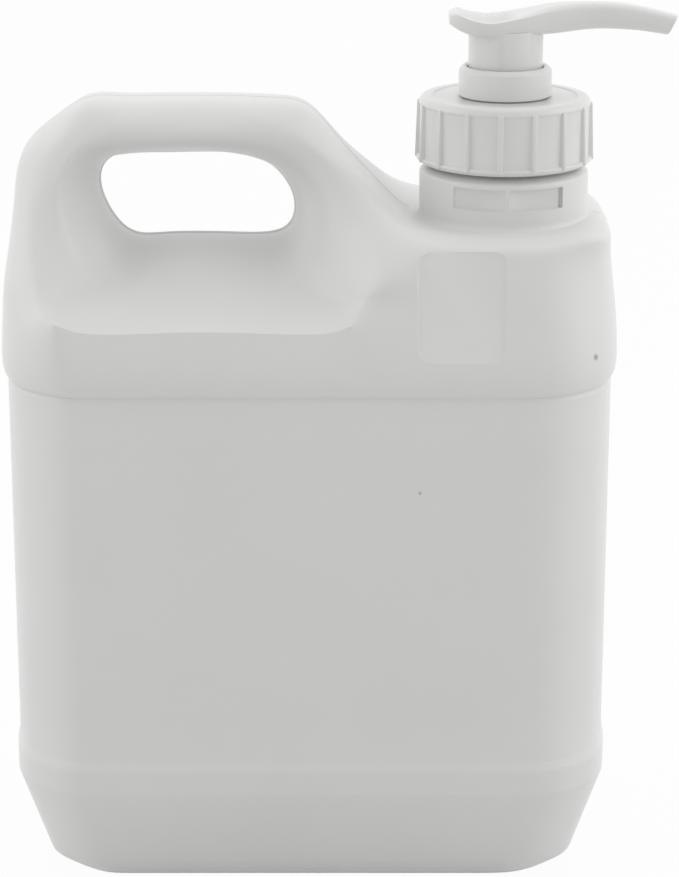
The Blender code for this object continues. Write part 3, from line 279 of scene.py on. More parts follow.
THUMB_DISHES = (
    (HEAD_LEFT, 0.0),
    (HEAD_LEFT + 0.0012, 0.0004),
    (HEAD_LEFT + 0.0050, 0.70 * THUMB_DISH),
    (NECK_X - 0.0050, THUMB_DISH),
    (NECK_X + 0.0020, 0.70 * THUMB_DISH),
    (NECK_X + 0.0100, 0.12 * THUMB_DISH),
    (NECK_X + 0.0180, 0.0),
    (SPOUT_TIP_X, 0.0),
)

# Marks on the jug: place, radius and strength
MARK_COLOUR = "#6E6A64"
MARK_CORE = 0.6
JUG_MARKS = (
    ((0.0697, -0.0358, 0.1389), 0.0013, 0.60),
    ((0.0273, -0.0424, 0.1060), 0.0005, 0.45),
    ((0.0691, -0.0346, 0.0851), 0.0005, 0.40),
    ((0.0200, -0.0375, 0.0133), 0.0005, 0.40),
)

# Sizes of the patches in the plastics' colour and gloss, and of the steel's lines
CLOUD_SIZE = 0.030
GLOSS_SIZE = 0.008
DRAWN_SIZE = 0.0006
GLOSS_RANGE = 0.05

# Floor, and the sides of the square lamps, which aim at the jug's middle
WHITE = (1.0, 1.0, 1.0, 1.0)
FLOOR_SIZE = 8.0
FLOOR_GAP = 0.0002
FLOOR_WHITE = 0.95
SIDE_LAMP = 0.45
TOP_LAMP = 0.60
LAMP_AIM = (0.0, 0.0, 0.10)
RIGHT_LAMP_PLACE = (0.62, -0.06, 0.46)
LEFT_LAMP_PLACE = (-0.60, -0.06, 0.44)
TOP_LAMP_PLACE = (0.02, 0.02, 0.86)

# The photograph's camera, fitted to the jug's outline
FOCAL_PIXELS = 2850.0
PHOTO_HEIGHT = 877.0
SENSOR = 36.0
AIM_X = 0.00751
AIM_HEIGHT = 0.10712

# Parting line: its loops are cut on the middle plane, and hidden parts are left out
ON_PLANE = 1e-5
SHORTEST_LOOP = 20
HOLE_MARGIN = 0.01
BASE_HIDDEN = 0.0006
PARTING_SPREAD = 1.5

# Corners nearer than this are one corner
TOUCHING = 1e-6
FULL_TURN = 2.0 * math.pi


def spline(value, stations):
    """Height at value on a smooth curve through (place, height) stations."""
    places = [place for place, _ in stations]
    heights = [height for _, height in stations]
    slopes = np.gradient(heights, places)
    n = int(np.clip(np.searchsorted(places, value) - 1, 0, len(places) - 2))
    span = places[n + 1] - places[n]
    t = (value - places[n]) / span
    a = (1.0 + 2.0 * t) * (1.0 - t) ** 2 * heights[n]
    b = t * (1.0 - t) ** 2 * span * slopes[n]
    c = t * t * (3.0 - 2.0 * t) * heights[n + 1]
    d = t * t * (t - 1.0) * span * slopes[n + 1]
    return a + b + c + d


# The jug is a cage of cells: columns along X, layers through the depth and
# rows up the height. The finger hole is the cells that are left out.
COLUMNS = 10
LAYERS = 4
BODY_ROWS = 9
ROOT_ROW = BODY_ROWS + 1
CRISP_ROWS = 7
HOLE_COLUMNS = (2, 3, 4)
LEG_COLUMNS = (0, 1)
SLOPE_COLUMN = 5
TOP_ROW = ROOT_ROW + 4
MIDDLE = LAYERS // 2


def cell_is_solid(column, row):
    if row <= ROOT_ROW:
        return True
    if row == ROOT_ROW + 1:
        return column not in HOLE_COLUMNS
    if row == ROOT_ROW + 2:
        return column in LEG_COLUMNS or column == SLOPE_COLUMN
    return row == ROOT_ROW + 3 and column <= SLOPE_COLUMN


def cage_faces():
    """Outside faces of the solid cells, as corner keys wound to face out."""
    faces = []
    steps = ((1, 0, 0), (-1, 0, 0), (0, 1, 0), (0, -1, 0), (0, 0, 1), (0, 0, -1))
    for column in range(COLUMNS):
        for row in range(TOP_ROW):
            if not cell_is_solid(column, row):
                continue
            for layer in range(LAYERS):
                cell = (column, layer, row)
                for step in steps:
                    beside = [cell[n] + step[n] for n in range(3)]
                    inside = 0 <= beside[0] < COLUMNS and 0 <= beside[1] < LAYERS
                    inside = inside and 0 <= beside[2] < TOP_ROW
                    if inside and cell_is_solid(beside[0], beside[2]):
                        continue
                    axis = [abs(value) for value in step].index(1)
                    first = (axis + 1) % 3
                    second = (axis + 2) % 3
                    corners = []
                    for u, v in ((0, 0), (1, 0), (1, 1), (0, 1)):
                        corner = list(cell)
                        corner[axis] += max(step[axis], 0)
                        corner[first] += u
                        corner[second] += v
                        corners.append(tuple(corner))
                    if step[axis] < 0:
                        corners.reverse()
                    faces.append(tuple(corners))
    return faces


def face_depth(height):
    """Half depth of the shoulder's leaning face, from the band to the platform."""
    low = BODY_HALF_DEPTH + BAND_PROUD
    high = PLATFORM_HALF_DEPTH + 0.25 * PLATFORM_ROUND
    share = (height - BAND_HEIGHT) / (PLATFORM_HEIGHT - BAND_HEIGHT)
    return low + share * (high - low)


def body_stations():
    """(height, half width, half depth, chamfer) from the base to the shelf."""
    stations = []
    for height, proud in ((0.0, -BASE_EDGE), (BASE_EDGE, 0.0)):
        half_width = BASE_HALF_WIDTH + proud
        half_depth = BASE_HALF_DEPTH + proud
        stations.append((height, half_width, half_depth, BASE_CHAMFER))
    for height, proud in (
        (RIDGE_LOW, RIDGE_PROUD - RIDGE_EASE),
        (RIDGE_HIGH, RIDGE_PROUD - RIDGE_EASE),
        (RIDGE_HIGH + RIDGE_FADE, 0.0),
        (WAIST_TOP, 0.0),
        (WAIST_TOP + 2.0 * GROOVE_DEPTH, -GROOVE_DEPTH),
        (BAND_FOOT, 0.95 * BAND_PROUD),
        (BAND_HEIGHT, BAND_PROUD),
        (SHELF_HEIGHT, BAND_PROUD - BAND_EASE),
    ):
        half_width = BODY_HALF_WIDTH + proud
        half_depth = BODY_HALF_DEPTH + proud
        if height > BAND_HEIGHT:
            half_depth = face_depth(height)
        stations.append((height, half_width, half_depth, CORNER_CHAMFER))
    return stations


def column_x(column, flat):
    """X of a column where it runs up the front, whose flat has this half width."""
    full_flat = BODY_HALF_WIDTH + BAND_PROUD - CORNER_CHAMFER
    third = (SHELF_RIGHT - SHELF_LEFT) / 3.0
    places = {
        1: -full_flat,
        2: SHELF_LEFT,
        3: SHELF_LEFT + third,
        4: SHELF_LEFT + 2.0 * third,
        5: SHELF_RIGHT,
        6: 0.5 * (SHELF_RIGHT + SLOPE_FOOT_X),
        7: SLOPE_FOOT_X,
        8: NECK_COLUMN_X,
        9: full_flat,
    }
    return places[column] * flat / full_flat


def body_point(column, layer, half_width, half_depth, chamfer):
    """Plan position on the outer ring of a rectangle with cut corners."""
    side = -1.0 if column == 0 else 1.0
    flat_depth = half_depth - chamfer
    depths = (-half_depth, -flat_depth, 0.0, flat_depth, half_depth)
    if column in (0, COLUMNS):
        if layer in (0, LAYERS):
            inset = 0.5 * chamfer - CORNER_BULGE
            front = -1.0 if layer == 0 else 1.0
            return side * (half_width - inset), front * (half_depth - inset)
        return side * half_width, depths[layer]
    return column_x(column, half_width - chamfer), depths[layer]


def handle_points():
    """Places of the cage corners above the shelf's lower edge.

    Keys are (column, layer, row) for the front half; the back half mirrors it.
    Each corner is set one by one from the outline that it lies on.
    """
    root = ROOT_ROW
    low, mid, high, top = (root + n for n in range(1, 5))
    wide = BODY_HALF_WIDTH - CORNER_EASE
    grip = HANDLE_HALF_DEPTH
    half = 0.5 * grip
    hole_mid_z = 0.5 * (HOLE_BOTTOM + HOLE_TOP)
    slope_run = SLOPE_FOOT_X - SLOPE_TOP_X - SLOPE_ROUND
    slope_drop = HANDLE_TOP - PLATFORM_HEIGHT
    flat_x = wide - CORNER_CHAMFER

    def hole(share):
        return HOLE_LEFT + share * (HOLE_RIGHT - HOLE_LEFT)

    def funnel(share):
        return SHELF_HEIGHT + share * (HOLE_BOTTOM - SHELF_HEIGHT)

    def slope(share, y, drop=0.0):
        x = SLOPE_TOP_X + SLOPE_ROUND + share * slope_run
        return x, y, HANDLE_TOP - share * slope_drop - drop

    points = {}
    # Lower edge of the finger hole: its pinch line, the funnel's middle and its face
    for column, x in ((3, hole(0.35)), (4, hole(0.68))):
        points[column, 2, low] = (x, 0.0, HOLE_BOTTOM - 0.0007)
        points[column, 1, low] = (x, -FUNNEL_MIDDLE, funnel(0.75))
        points[column, 0, low] = (x, -FUNNEL_FACE, funnel(0.47))
    points[2, 2, low] = (hole(0.13), 0.0, HOLE_BOTTOM + 0.0006)
    points[5, 2, low] = (HOLE_RIGHT - 0.0028, 0.0, HOLE_BOTTOM + 0.0005)
    points[2, 1, low] = (hole(0.09), -FUNNEL_MIDDLE, funnel(0.77))
    points[5, 1, low] = (HOLE_RIGHT - 0.0010, -FUNNEL_MIDDLE, funnel(0.80))
    points[2, 0, low] = (hole(0.03), -FUNNEL_FACE, funnel(0.50))
    points[5, 0, low] = (HOLE_RIGHT + 0.0040, -FUNNEL_FACE - 0.0010, funnel(0.55))
    # Its two ends
    points[2, 2, mid] = (HOLE_LEFT, 0.0, hole_mid_z + 0.0014)
    points[5, 2, mid] = (HOLE_RIGHT, 0.0, hole_mid_z - 0.0016)
    points[2, 1, mid] = (HOLE_LEFT - 0.0026, -half - 0.0010, hole_mid_z + 0.0010)
    points[5, 1, mid] = (HOLE_RIGHT + 0.0026, -half - 0.0010, hole_mid_z - 0.0012)
    points[2, 0, mid] = (HOLE_LEFT - 0.0072, -grip - 0.0034, hole_mid_z - 0.0008)
    points[5, 0, mid] = (HOLE_RIGHT + 0.0080, -grip - 0.0050, hole_mid_z - 0.0016)
    # Its upper edge, under the bar
    points[2, 2, high] = (HOLE_LEFT + 0.0032, 0.0, HOLE_TOP - 0.0010)
    points[3, 2, high] = (hole(0.30), 0.0, HOLE_TOP)
    points[4, 2, high] = (hole(0.68), 0.0, HOLE_TOP)
    points[5, 2, high] = (HOLE_RIGHT - 0.0052, 0.0, HOLE_TOP - 0.0036)
    points[2, 1, high] = (HOLE_LEFT + 0.0010, -half, HOLE_TOP - 0.0006)
    points[5, 1, high] = (HOLE_RIGHT - 0.0042, -half, HOLE_TOP - 0.0024)
    points[2, 0, high] = (HOLE_LEFT - 0.0024, -grip - 0.0004, HOLE_TOP + 0.0026)
    points[5, 0, high] = (HOLE_RIGHT + 0.0012, -grip - 0.0010, HOLE_TOP + 0.0014)
    for column, x in ((3, hole(0.30)), (4, hole(0.63))):
        points[column, 1, high] = (x, -half, HOLE_TOP + 0.0013)
        points[column, 0, high] = (x, -grip, HOLE_TOP + 0.0046)
    # Where the legs and the shelf rise from the body's face
    root_z = funnel(0.30)
    block_z = root_z + 0.0026
    face = face_depth(block_z)
    points[0, 0, root] = (-wide + 0.0064, -0.0312, block_z)
    points[0, 1, root] = (-wide - 0.0006, -0.0215, block_z)
    points[0, 2, root] = (-wide - 0.0006, 0.0, block_z)
    points[1, 0, root] = (-flat_x - 0.0040, -0.0338, root_z + 0.0012)
    points[2, 0, root] = (HOLE_LEFT - 0.0022, -0.0300, root_z)
    points[3, 0, root] = (hole(0.34), -0.0305, root_z - 0.0012)
    points[4, 0, root] = (hole(0.69), -0.0305, root_z - 0.0012)
    points[5, 0, root] = (HOLE_RIGHT + 0.0078, -0.0315, root_z)
    points[6, 0, root] = (HOLE_RIGHT + 0.0172, -face + 0.0008, root_z + 0.0022)
    # Left leg: its face, its outer corner and its outline
    points[1, 0, low] = (-flat_x - 0.0030, -0.0258, HOLE_BOTTOM - 0.0010)
    points[1, 0, mid] = (-flat_x - 0.0054, -0.0192, hole_mid_z)
    points[1, 0, high] = (-flat_x - 0.0016, -grip - 0.0026, HOLE_TOP - 0.0004)
    points[0, 0, low] = (HANDLE_LEFT + 0.0042, -0.0258, HOLE_BOTTOM)
    points[0, 0, mid] = (HANDLE_LEFT + 0.0034, -0.0178, hole_mid_z)
    points[0, 0, high] = (HANDLE_LEFT + 0.0056, -grip + 0.0004, HOLE_TOP - 0.0008)
    points[0, 1, low] = (HANDLE_LEFT - 0.0004, -0.0150, HOLE_BOTTOM)
    points[0, 1, mid] = (HANDLE_LEFT + 0.0006, -0.0098, hole_mid_z)
    points[0, 1, high] = (HANDLE_LEFT + 0.0028, -half, HANDLE_SHOULDER - 0.0004)
    points[0, 2, low] = (HANDLE_LEFT - 0.0006, 0.0, HOLE_BOTTOM)
    points[0, 2, mid] = (HANDLE_LEFT + 0.0003, 0.0, hole_mid_z)
    points[0, 2, high] = (HANDLE_LEFT + 0.0024, 0.0, HANDLE_SHOULDER)
    # Top of the bar, from the left corner to the slope
    corner_x = 0.5 * (HANDLE_LEFT + HANDLE_CORNER) + 0.0006
    corner_z = 0.5 * (HANDLE_SHOULDER + HANDLE_TOP) - 0.0006
    points[0, 0, top] = (corner_x + 0.0010, -grip - 0.0002, corner_z - 0.0016)
    points[0, 1, top] = (corner_x + 0.0008, -half, corner_z + 0.0008)
    points[0, 2, top] = (corner_x, 0.0, corner_z + 0.0016)
    bar = (HANDLE_CORNER, HANDLE_CORNER + 0.0085, hole(0.33), hole(0.64), SLOPE_TOP_X)
    for column, x in enumerate(bar, start=1):
        fall = 0.0005 if column in (1, 5) else 0.0
        points[column, 0, top] = (x, -grip, HANDLE_TOP - 0.0048 - fall)
        points[column, 1, top] = (x, -0.58 * grip, HANDLE_TOP - 0.0007 - fall)
        points[column, 2, top] = (x, 0.0, HANDLE_TOP - fall)
    # Right leg: outer slope down to the platform, widening to full depth
    points[6, 2, top] = slope(0.10, 0.0)
    points[6, 1, top] = slope(0.09, -half - 0.0010, 0.0010)
    points[6, 0, top] = slope(0.08, -grip - 0.0005, 0.0052)
    points[6, 2, high] = slope(0.40, 0.0)
    points[6, 1, high] = slope(0.39, -0.0095, 0.0006)
    points[6, 0, high] = slope(0.32, -0.0168, 0.0040)
    points[6, 2, mid] = slope(0.72, 0.0, -0.0004)
    points[6, 1, mid] = slope(0.71, -0.0120, -0.0004)
    points[6, 0, mid] = slope(0.63, -0.0228, 0.0036)
    points[6, 0, low] = (SLOPE_FOOT_X - 0.0095, -face_depth(0.1590) + 0.0010, 0.1590)
    # Block under the neck, its corners set out so that the smoothing rounds them
    wall_top = PLATFORM_HEIGHT - 0.8 * PLATFORM_ROUND
    wall = face_depth(wall_top)
    lip = PLATFORM_HALF_DEPTH + 0.0006
    block = ((7, SLOPE_FOOT_X, 0.0012), (8, NECK_COLUMN_X, 0.0), (9, flat_x, 0.0))
    for column, x, foot in block:
        inner = x + foot
        points[column, 0, root] = (x, -face, block_z)
        points[column, 0, low] = (x, -wall, wall_top)
        points[column, 0, mid] = (x, -lip, PLATFORM_HEIGHT + 0.0014)
        points[column, 1, mid] = (inner, -0.5 * PLATFORM_HALF_DEPTH, PLATFORM_HEIGHT - 0.5 * foot)
        points[column, 2, mid] = (inner, 0.0, PLATFORM_HEIGHT - foot)
    # Its right end, whose corners are cut less at the rim
    inset = 0.5 * CORNER_CHAMFER - CORNER_BULGE
    for row, out, depth, cut, z in (
        (root, 0.0012, face, 1.0, block_z),
        (low, 0.0003, wall, 1.0, wall_top),
        (mid, 0.0008, lip, 0.6, PLATFORM_HEIGHT + 0.0022),
    ):
        end = wide + out
        points[COLUMNS, 0, row] = (end - cut * inset, -depth + cut * inset, z)
        points[COLUMNS, 1, row] = (end, -depth + cut * CORNER_CHAMFER, z)
        points[COLUMNS, 2, row] = (end, 0.0, z)
    return points


def shelf_edge(column, place):
    """Lower edge of the shelf: it turns up at its two ends."""
    x, y, z = place
    if column == 1:
        x = -BODY_HALF_WIDTH + CORNER_CHAMFER - 0.0022
        return x, y + 0.0008 * np.sign(-y), z + SHELF_TURN_UP
    if column == 6:
        return x - 0.0020, y, z + SHELF_TURN_UP
    return place


def cage_places(keys):
    stations = body_stations()
    upper = handle_points()
    places = []
    for key in keys:
        column, layer, row = key
        if row <= BODY_ROWS:
            height, half_width, half_depth, chamfer = stations[row]
            x, y = body_point(column, layer, half_width, half_depth, chamfer)
            place = (x, y, height)
            if row == BODY_ROWS and layer in (0, LAYERS):
                place = shelf_edge(column, place)
        else:
            front_layer = min(layer, LAYERS - layer)
            x, y, z = upper[column, front_layer, row]
            place = (x, y if layer <= MIDDLE else -y, z)
        places.append(place)
    return np.array(places)


def sharp_cage_edges():
    """Rings below the shoulder band, and the shelf's lower edge, stay crisp."""
    edges = set()
    for row in range(CRISP_ROWS):
        for column in range(COLUMNS):
            for layer in (0, LAYERS):
                edges.add(frozenset(((column, layer, row), (column + 1, layer, row))))
        for layer in range(LAYERS):
            for column in (0, COLUMNS):
                edges.add(frozenset(((column, layer, row), (column, layer + 1, row))))
    for column in range(1, 6):
        for layer in (0, LAYERS):
            low = (column, layer, BODY_ROWS)
            edges.add(frozenset((low, (column + 1, layer, BODY_ROWS))))
    return edges


def is_free(key):
    """Corners of the plain walls, which the smoothing may round off."""
    column, layer, row = key
    if row < BODY_ROWS:
        return True
    if row == BODY_ROWS:
        return layer not in (0, LAYERS) or column == 0 or column > 6
    if column in LEG_COLUMNS and layer in (0, LAYERS):
        return row > ROOT_ROW
    return column > 6


def pushed_out_cage(keys, faces, sharp):
    """Cage corners whose smoothed surface runs through the wanted places."""
    index = {key: n for n, key in enumerate(keys)}
    count = len(keys)
    weights = np.zeros((count, count))
    beside = [set() for _ in keys]
    across = [[] for _ in keys]
    creased = [set() for _ in keys]
    for face in faces:
        for n in range(4):
            here = index[face[n]]
            beside[here].add(index[face[(n + 1) % 4]])
            beside[here].add(index[face[(n + 3) % 4]])
            across[here].append(index[face[(n + 2) % 4]])
    for edge in sharp:
        a, b = (index[key] for key in edge)
        creased[a].add(b)
        creased[b].add(a)
    for here in range(count):
        if is_free(keys[here]):
            weights[here, here] = 1.0
            continue
        if len(creased[here]) == 2:
            weights[here, here] = 2.0 / 3.0
            for other in creased[here]:
                weights[here, other] += 1.0 / 6.0
            continue
        valence = len(beside[here])
        share = 1.0 / (valence * (valence + 5.0))
        weights[here, here] = valence * valence * share
        for other in beside[here]:
            weights[here, other] += 4.0 * share
        for other in across[here]:
            weights[here, other] += share
    return np.linalg.solve(weights, cage_places(keys))


def jug_skin_mesh():
    faces = cage_faces()
    keys = sorted({key for face in faces for key in face})
    sharp = sharp_cage_edges()
    corners = pushed_out_cage(keys, faces, sharp)
    mesh = bmesh.new()
    crease = mesh.edges.layers.float.new("crease_edge")
    verts = {key: mesh.verts.new(Vector(corner)) for key, corner in zip(keys, corners)}
    for face in faces:
        mesh.faces.new([verts[key] for key in face])
    for edge in sharp:
        a, b = edge
        found = mesh.edges.get((verts[a], verts[b]))
        found[crease] = 1.0
    bmesh.ops.recalc_face_normals(mesh, faces=mesh.faces)
    return mesh


def neck_profile():
    """Outline of the neck: root, ledge, ring, flare at the foot, and bore."""
    foot = PLATFORM_HEIGHT - NECK_SUNK
    return [
        (NECK_ROOT_RADIUS, NECK_RIM - NECK_LIP),
        (NECK_ROOT_RADIUS, NECK_RING_TOP + NECK_LEDGE_RISE),
        (NECK_RING_RADIUS - 0.0010, NECK_RING_TOP + 0.0006),
        (NECK_RING_RADIUS, NECK_RING_TOP),
        (NECK_RING_RADIUS, PLATFORM_HEIGHT + 0.0016),
        (NECK_RING_RADIUS + 0.3 * NECK_FLARE, PLATFORM_HEIGHT + 0.0005),
        (NECK_RING_RADIUS + NECK_FLARE, PLATFORM_HEIGHT - 0.0004),
        (NECK_RING_RADIUS + NECK_FLARE, foot),
        (NECK_BORE_RADIUS - NECK_JOIN, foot),
        (NECK_BORE_RADIUS - NECK_JOIN, NECK_RIM),
        (NECK_ROOT_RADIUS - NECK_LIP, NECK_RIM),
    ]


def spout_section(x, lean):
    """Ring across the head at x: a soft-cornered bar whose top may be dished."""
    top = HEAD_UNDERSIDE + spline(x, SPOUT_TOPS)
    bottom = HEAD_UNDERSIDE + spline(x, SPOUT_BOTTOMS)
    half = spline(x, SPOUT_HALF_WIDTHS)
    dish = spline(x, THUMB_DISHES)
    corner = min(0.28 * (top - bottom), 0.5 * half)
    rounding = 0.55 * corner
    across = np.linspace(-1.0, 1.0, SPOUT_ACROSS)
    ring = []
    for share in across:
        y = share * (half - 0.15 * corner)
        z = top - dish * (1.0 - share * share) - rounding * share ** 4
        ring.append((y, z + grip_ridge(x, y, half)))
    ring += [(half, top - corner), (half, bottom + corner)]
    for share in reversed(across):
        ring.append((share * (half - 0.25 * corner), bottom + rounding * share ** 4))
    ring += [(-half, bottom + corner), (-half, top - corner)]
    middle = 0.5 * (top + bottom)
    return [(x - lean * (z - middle), y, z) for y, z in ring]


def grip_ridge(x, y, half):
    """Height of the fine curved ridges in the thumb dish."""
    from_left = (x - HEAD_LEFT - 0.0014) / GRIP_MARGIN
    from_right = (NECK_X + 0.0030 - x) / 0.0030
    from_rim = (half - GRIP_MARGIN - abs(y)) / 0.0010
    fade = float(np.clip(min(from_left, from_right, from_rim), 0.0, 1.0))
    radius = math.dist((x, y), GRIP_CENTRE)
    wave = 0.5 + 0.5 * math.cos(FULL_TURN * radius / GRIP_PITCH)
    return sizes().ridge_height * fade * wave * wave


# Sizes and colours that a user may change


def length(name, description, default):
    return bpy.props.FloatProperty(
        name=name, description=description, default=default, unit="LENGTH"
    )


def power(name, description, default):
    return bpy.props.FloatProperty(
        name=name, description=description, default=default, unit="POWER"
    )


def hex_colour(name, description, default):
    return bpy.props.StringProperty(name=name, description=description, default=default)


class JugSizes(bpy.types.PropertyGroup):
    """Sizes of the jug, closure and pump, in metres."""

    wall: length("Wall", "Thickness of the blown wall", JUG_WALL)
    smoothing: bpy.props.IntProperty(
        name="Smoothing", description="Times the jug's cage is subdivided", default=3, min=1, max=4
    )
    parting_width: length("Parting line", "Width of the mould's parting line", 0.00024)
    flash_width: length("Pinch flash", "Width of the trimmed flash in the handle", 0.0007)
    thread_pitch: length("Thread pitch", "Rise of the neck's thread in one turn", 0.00423)
    ridge_height: length("Grip ridge", "Height of the ridges in the thumb dish", 0.00020)


class FinishColours(bpy.types.PropertyGroup):
    """Colours of the plastics and metal, as sRGB hex."""

    jug: hex_colour("Jug", "Natural white polyethylene", "#E3E3E2")
    pump: hex_colour("Pump", "White polypropylene", "#E3E3E2")
    foam: hex_colour("Foam", "Neck gasket", "#D9D7D0")
    tube: hex_colour("Tube", "Milky polyethylene tube", "#DDE0DF")
    steel: hex_colour("Steel", "Spring wire and valve balls", "#C2C3C4")


class StudioSettings(bpy.types.PropertyGroup):
    """Light, floor and camera."""

    right_power: power("Right", "Power of the lamp at the right", 0.80)
    left_power: power("Left", "Power of the lamp at the left", 0.62)
    top_power: power("Top", "Power of the lamp overhead", 0.12)
    sky: bpy.props.FloatProperty(
        name="Sky", description="Strength of the soft light from all round", default=0.94,
        min=0.0,
    )
    lean: bpy.props.FloatVectorProperty(
        name="Lean", description="How much brighter that light is from the right, back and top",
        default=(0.03, 0.44, -0.05), subtype="XYZ",
    )
    floor: hex_colour("Floor", "Colour of the pale floor", "#DEDEDE")
    distance: length("Distance", "From the camera to the jug", 0.7413)
    pitch: bpy.props.FloatProperty(
        name="Pitch", description="How far the camera looks down", default=math.radians(17.0),
        subtype="ANGLE",
    )


def sizes():
    return bpy.context.scene.jug_sizes


def colours():
    return bpy.context.scene.jug_colours


def studio():
    return bpy.context.scene.jug_studio


# Modelling helpers


def deselect_all():
    if bpy.context.object and bpy.context.object.mode != "OBJECT":
        bpy.ops.object.mode_set(mode="OBJECT")
    bpy.ops.object.select_all(action="DESELECT")


def pick(*pieces):
    """Select these pieces alone, the first one active."""
    deselect_all()
    for piece in pieces:
        piece.select_set(True)
    bpy.context.view_layer.objects.active = pieces[0]


def join(pieces, name):
    pick(*pieces)
    bpy.ops.object.join()
    joined = bpy.context.object
    joined.name = name
    return joined


def link_data(name, data):
    """Put a mesh, curve, lamp or camera into the scene."""
    piece = bpy.data.objects.new(name, data)
    bpy.context.scene.collection.objects.link(piece)
    return piece


def link_mesh(name, mesh_data):
    mesh = bpy.data.meshes.new(name)
    mesh_data.to_mesh(mesh)
    mesh_data.free()
    piece = link_data(name, mesh)
    pick(piece)
    return piece


def settle(piece):
    """Put the piece's place into its mesh, so its object sits at the origin."""
    pick(piece)
    bpy.ops.object.transform_apply(location=True, rotation=True, scale=True)


def apply_modifier(piece, kind, **settings):
    pick(piece)
    modifier = piece.modifiers.new(kind.title(), kind)
    for name, value in settings.items():
        setattr(modifier, name, value)
    if kind == "SUBSURF":
        modifier.render_levels = modifier.levels
    bpy.ops.object.modifier_apply(modifier=modifier.name)


def carve(piece, other, operation):
    """Join or cut one solid with another, which is then removed."""
    settle(other)
    apply_modifier(piece, "BOOLEAN", operation=operation, object=other, solver="EXACT")
    bpy.data.objects.remove(other, do_unlink=True)


def turn_outline(name, outline, steps):
    """Spin a closed outline of (radius, height) points about the neck's axis."""
    deselect_all()
    bpy.ops.mesh.primitive_circle_add(vertices=len(outline), radius=1.0, fill_type="NOTHING")
    piece = bpy.context.object
    piece.name = name
    for vert, (radius, height) in zip(piece.data.vertices, outline):
        vert.co = (NECK_X + radius, 0.0, height)
    bpy.ops.object.mode_set(mode="EDIT")
    bpy.ops.mesh.select_all(action="SELECT")
    bpy.ops.mesh.spin(
        steps=steps, angle=FULL_TURN, center=(NECK_X, 0.0, 0.0), axis=(0.0, 0.0, 1.0)
    )
    bpy.ops.mesh.select_all(action="SELECT")
    bpy.ops.mesh.remove_doubles(threshold=TOUCHING)
    bpy.ops.mesh.normals_make_consistent(inside=False)
    bpy.ops.object.mode_set(mode="OBJECT")
    return piece


def round_corners(outline, radius, steps=3):
    """Outline with each corner rounded to this radius, or less where it is short."""
    rounded = []
    count = len(outline)
    for n, corner in enumerate(outline):
        here = Vector(corner)
        before = Vector(outline[n - 1]) - here
        after = Vector(outline[(n + 1) % count]) - here
        reach = min(radius, 0.45 * before.length, 0.45 * after.length)
        start = here + before.normalized() * reach
        end = here + after.normalized() * reach
        for step in range(steps + 1):
            t = step / steps
            point = start * (1.0 - t) ** 2 + here * 2.0 * t * (1.0 - t) + end * t * t
            rounded.append((point.x, point.y))
    return rounded


def bridge(mesh, first, second):
    """Close the gap between two rings of corners with four-sided faces."""
    count = len(first)
    for n in range(count):
        m = (n + 1) % count
        mesh.faces.new((first[n], first[m], second[m], second[n]))


def loft(name, outlines):
    """A closed solid that runs through rings of points."""
    mesh = bmesh.new()
    rings = [[mesh.verts.new(point) for point in outline] for outline in outlines]
    for first, second in zip(rings, rings[1:]):
        bridge(mesh, first, second)
    mesh.faces.new(rings[0])
    mesh.faces.new(rings[-1])
    bmesh.ops.recalc_face_normals(mesh, faces=mesh.faces)
    return link_mesh(name, mesh)


def finish_piece(piece, body, slot, *replaced, angle=35.0):
    pick(piece)
    bpy.ops.object.shade_smooth_by_angle(angle=math.radians(angle))
    piece.data.materials.clear()
    piece.data.materials.append(finishes[slot])
    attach(piece, body)
    if replaced:
        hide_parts(*replaced)


# Materials


def linear(code):
    """Linear colour of an sRGB hex value."""
    channels = []
    for n in (1, 3, 5):
        value = int(code[n:n + 2], 16) / 255.0
        channels.append(value / 12.92 if value <= 0.04045 else ((value + 0.055) / 1.055) ** 2.4)
    return (*channels, 1.0)


def add_node(tree, kind, links=(), values=None, **settings):
    """Add a node: settings are its properties, links and values fill its inputs."""
    node = tree.nodes.new(kind)
    for name, value in settings.items():
        setattr(node, name, value)
    for socket, value in (values or {}).items():
        node.inputs[socket].default_value = value
    for socket, source in links:
        tree.links.new(source, node.inputs[socket])
    return node


def start_material(name):
    material = bpy.data.materials.new(name)
    material.use_nodes = True
    tree = material.node_tree
    shader = tree.nodes["Principled BSDF"]
    place = add_node(tree, "ShaderNodeTexCoord").outputs["Object"]
    return material, tree, shader, place


def noise(tree, place, size, detail):
    """Cloudy values from 0 to 1, in patches about this many metres across."""
    values = {"Scale": 1.0 / size, "Detail": detail}
    return add_node(tree, "ShaderNodeTexNoise", [("Vector", place)], values).outputs["Fac"]


def uneven_gloss(tree, shader, source, low, high):
    """Let the roughness wander between these two values."""
    values = {"To Min": low, "To Max": high}
    node = add_node(tree, "ShaderNodeMapRange", [("Value", source)], values)
    tree.links.new(node.outputs["Result"], shader.inputs["Roughness"])


def relief(tree, height, depth, links=()):
    """Normals of a surface that this much relief, in metres, makes uneven."""
    values = {"Distance": depth, "Strength": 1.0}
    node = add_node(tree, "ShaderNodeBump", [("Height", height), *links], values)
    return node.outputs["Normal"]


def dark_mark(tree, place, painted, centre, radius, strength):
    """The colour so far, with one small soft-edged dark mark on it."""
    gap = add_node(
        tree, "ShaderNodeVectorMath", [(0, place)], {1: centre}, operation="DISTANCE"
    )
    spot = add_node(
        tree, "ShaderNodeMapRange", [("Value", gap.outputs["Value"])],
        {"From Min": MARK_CORE * radius, "From Max": radius, "To Min": strength, "To Max": 0.0},
        interpolation_type="SMOOTHSTEP",
    )
    mixed = add_node(
        tree, "ShaderNodeMix", [("Factor", spot.outputs["Result"]), ("A", painted)],
        {"B": linear(MARK_COLOUR)}, data_type="RGBA",
    )
    return mixed.outputs["Result"]


